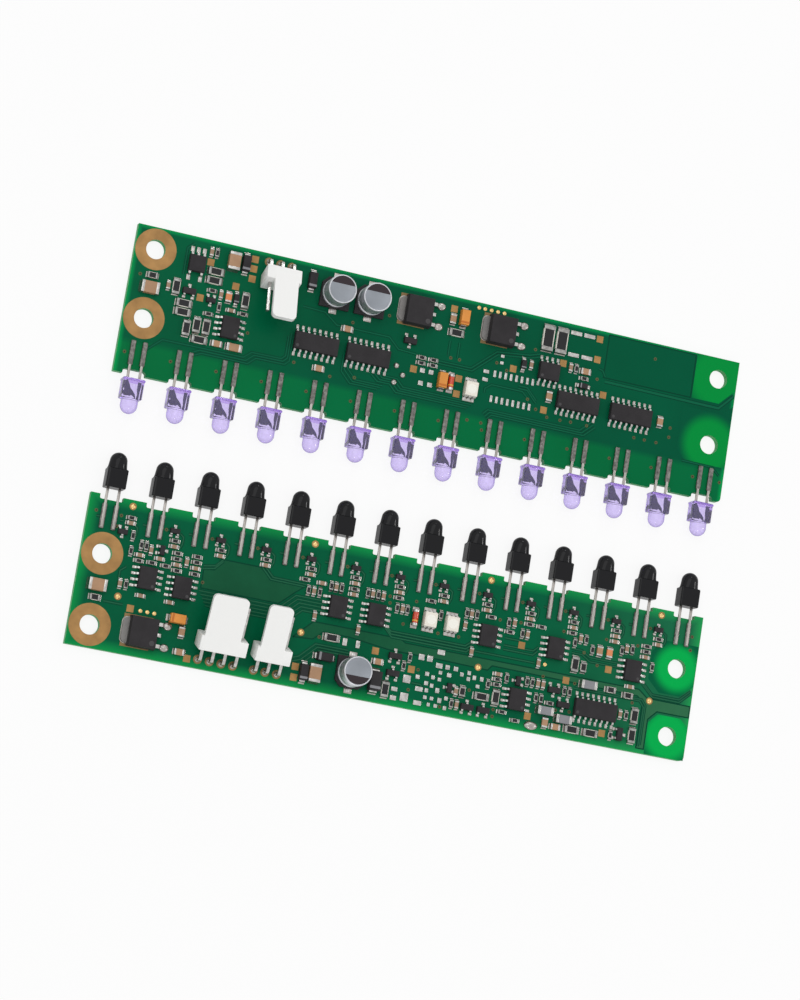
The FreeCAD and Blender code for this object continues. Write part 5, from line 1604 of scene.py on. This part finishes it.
class AREASENSOR_OT_diodes(bpy.types.Operator):
    """Make the moulded and the glass diodes"""

    bl_idname = "area_sensor.diodes"
    bl_label = "Diodes"

    def execute(self, context):
        for board in BOARDS:
            node = f"{board}_diodes"
            scatter(node, f"{node}_mouldings", lambda solid: moulded_diode(*long_wide_high(solid)),
                    "mould_compound")
            node = f"{board}_glass_diode"
            scatter(node, f"{node}_body", lambda solid: self.glass(*long_wide_high(solid)), "diode_glass")
        return {"FINISHED"}

    @staticmethod
    def glass(long, wide, high):
        """A glass tube lying along X between two metal ends, with a band near one."""
        radius = high / 2
        slim, inner = radius * GLASS_SLIM, radius - GLASS_BEVEL
        profile = [(inner, 0), (radius, GLASS_BEVEL), (radius, GLASS_END), (slim, GLASS_START),
                   *((slim, place) for place in GLASS_BAND), (slim, long - GLASS_START),
                   (radius, long - GLASS_END), (radius, long - GLASS_BEVEL), (inner, long)]
        bands = ["tin"] * 3 + ["diode_glass", "diode_band", "diode_glass"] + ["tin"] * 3
        tube = lathe(profile, bands, 28).moved(0, 0, -long / 2).turned(90, "Y").moved(0, 0, radius)
        return at_both_ends(tube, block(1.1, wide, 0.16, "solder", 0.06), long / 2)


# Window of a status lamp, as disc takes it, and the stripes of its terminals: places across and width, as
# shares of the lamp's width, and height as a share of its height
LAMP_WINDOW = (1.05, 0.01, 0.9, 0.015, "status_lens", 32)
STRIPE_PLACES = (-0.32, 0, 0.32)
STRIPE_WIDE = 0.2
STRIPE_RISE = 0.62
STRIPE_THICK = 0.16


class AREASENSOR_OT_status_lamps(bpy.types.Operator):
    """Make the status lamps"""

    bl_idname = "area_sensor.status_lamps"
    bl_label = "Status lamps"

    def execute(self, context):
        for node in ("emitter_status_lamp", "receiver_status_lamps"):
            scatter(node, f"{node}_bodies", lambda solid: self.lamp(*long_wide_high(solid)), "status_resin")
        return {"FINISHED"}

    @staticmethod
    def lamp(long, wide, high):
        """A pale body along X with a round window and a folded terminal at each end."""
        made = block(long, wide, high, "status_resin", 0.12, 2, 0, 0.08)
        made.add(disc(*LAMP_WINDOW).moved(0, 0, high - MARK_SUNK))
        rise = high * STRIPE_RISE
        line = [(-0.3, rise), (0.12, rise), (0.22, 0.2), (0.8, 0.14)]
        stripe = strap(line, STRIPE_THICK, wide * STRIPE_WIDE, "tin")
        terminal = block(0.9, wide * 0.9, 0.12, "solder", 0.05).moved(0.5)
        for share in STRIPE_PLACES:
            terminal.add(stripe.moved(0, share * wide))
        return at_both_ends(made, terminal, long / 2)


# The stage, in metres

WHITE = (1, 1, 1, 1)
# Light from below, and heights at which the change to full light starts and ends
SKY_BELOW = (0.4, 0.4, 0.4, 1)
SKY_START, SKY_END = 0.55, 0.9
FLOOR_SIDE = 8.0
FLOOR_LEVEL = -0.00003
FLOOR_ROUGHNESS = 0.9
NEAREST_SEEN = 0.01
# Soft boxes: place, side, and the property that gives the power
SOFT_BOXES = {
    "key_soft_box": ((-0.25, 0.2, 0.75), 0.55, "key"),
    "side_soft_box": ((0.6, -0.25, 0.45), 0.35, "side"),
    "back_glint": ((0.1, 0.75, 0.5), 0.1, "glint"),
    "front_glint": ((-0.1, -0.75, 0.5), 0.1, "glint"),
    "end_glint": ((0.75, 0.05, 0.45), 0.1, "glint"),
}


class AREASENSOR_OT_stage(bpy.types.Operator):
    """Set the floor, the soft light and the camera"""

    bl_idname = "area_sensor.stage"
    bl_label = "Stage"

    def execute(self, context):
        stage = context.scene.area_sensor_stage
        context.scene.view_settings.view_transform = "Standard"
        self.floor(stage)
        self.sky(context.scene, stage)
        for name, (place, side, source) in SOFT_BOXES.items():
            self.soft_box(name, place, side, getattr(stage, source))
        camera = bpy.data.objects.new("camera", bpy.data.cameras.new("camera"))
        context.scene.collection.objects.link(camera)
        camera.location = stage.camera_location
        camera.rotation_euler = stage.camera_turn
        camera.data.lens = stage.lens
        camera.data.clip_start = NEAREST_SEEN
        context.scene.camera = camera
        return {"FINISHED"}

    @staticmethod
    def seen_directly(tree):
        """1 for what the camera, a clear lens or a sheen shows, 0 for light on other things."""
        path = add_node(tree, "LightPath")
        shown = path.outputs["Is Camera Ray"]
        for kind in ("Is Transmission Ray", "Is Glossy Ray"):
            shown = add_node(tree, "Math", {0: shown, 1: path.outputs[kind]}, "MAXIMUM").outputs[0]
        return shown

    def floor(self, stage):
        mesh = bpy.data.meshes.new("floor")
        corners = [(x, y, FLOOR_LEVEL) for x, y in rectangle(0, 0, FLOOR_SIDE, FLOOR_SIDE)]
        mesh.from_pydata(corners, [], [(0, 1, 2, 3)])
        floor = bpy.data.objects.new("floor", mesh)
        bpy.context.scene.collection.objects.link(floor)
        made = bpy.data.materials.new("pale_floor")
        made.use_nodes = True
        tree = made.node_tree
        shader = tree.nodes["Principled BSDF"]
        set_inputs(tree, shader, {"Base Color": (*stage.floor, 1), "Roughness": FLOOR_ROUGHNESS})
        glow = add_node(tree, "Emission")
        share = add_node(tree, "Math", {0: self.seen_directly(tree), 1: stage.floor_glow}, "MULTIPLY")
        mix = add_node(tree, "MixShader", {"Fac": share.outputs[0], 1: shader.outputs["BSDF"],
                                           2: glow.outputs["Emission"]})
        set_inputs(tree, tree.nodes["Material Output"], {"Surface": mix.outputs["Shader"]})
        mesh.materials.append(made)

    def sky(self, scene, stage):
        world = bpy.data.worlds.new("studio")
        scene.world = world
        world.use_nodes = True
        tree = world.node_tree
        place = add_node(tree, "TexCoord").outputs["Generated"]
        height = add_node(tree, "SeparateXYZ", {"Vector": place}).outputs["Z"]
        even = tree.nodes["Background"]
        set_inputs(tree, even, {"Color": ramp(tree, height, SKY_BELOW, WHITE, SKY_START, SKY_END),
                                "Strength": stage.sky})
        white = add_node(tree, "Background", {"Color": WHITE})
        mix = add_node(tree, "MixShader", {"Fac": self.seen_directly(tree), 1: even.outputs["Background"],
                                           2: white.outputs["Background"]})
        set_inputs(tree, tree.nodes["World Output"], {"Surface": mix.outputs["Shader"]})

    @staticmethod
    def soft_box(name, location, side, watts):
        lamp = bpy.data.lights.new(name, "AREA")
        lamp.energy = watts
        lamp.size = side
        made = bpy.data.objects.new(name, lamp)
        bpy.context.scene.collection.objects.link(made)
        made.location = location
        made.rotation_euler = (-Vector(location)).to_track_quat("-Z", "Y").to_euler()


STEPS = (AREASENSOR_OT_boards, AREASENSOR_OT_copper, AREASENSOR_OT_lamps, AREASENSOR_OT_sensors,
         AREASENSOR_OT_leads, AREASENSOR_OT_headers, AREASENSOR_OT_cans, AREASENSOR_OT_regulators,
         AREASENSOR_OT_chips, AREASENSOR_OT_transistors, AREASENSOR_OT_resistors, AREASENSOR_OT_capacitors,
         AREASENSOR_OT_diodes, AREASENSOR_OT_status_lamps, AREASENSOR_OT_stage)


class AREASENSOR_PT_panel(bpy.types.Panel):
    """Steps that dress the area sensor"""

    bl_idname = "AREASENSOR_PT_panel"
    bl_label = "Area sensor"
    bl_space_type = "VIEW_3D"
    bl_region_type = "UI"
    bl_category = "Area sensor"

    def draw(self, context):
        for step in STEPS:
            self.layout.operator(step.bl_idname)


GROUPS = {"area_sensor_colours": AreaSensorColours, "area_sensor_sizes": AreaSensorSizes,
          "area_sensor_stage": AreaSensorStage}


def register():
    for group in (*GROUPS.values(), *STEPS, AREASENSOR_PT_panel):
        bpy.utils.register_class(group)
    for name, group in GROUPS.items():
        setattr(bpy.types.Scene, name, PointerProperty(type=group))


def unregister():
    for name in GROUPS:
        delattr(bpy.types.Scene, name)
    for group in (AREASENSOR_PT_panel, *reversed(STEPS), *GROUPS.values()):
        bpy.utils.unregister_class(group)


def main():
    register()
    for step in STEPS:
        prefix, name = step.bl_idname.split(".")
        getattr(getattr(bpy.ops, prefix), name)()


if __name__ == "__main__":
    main()
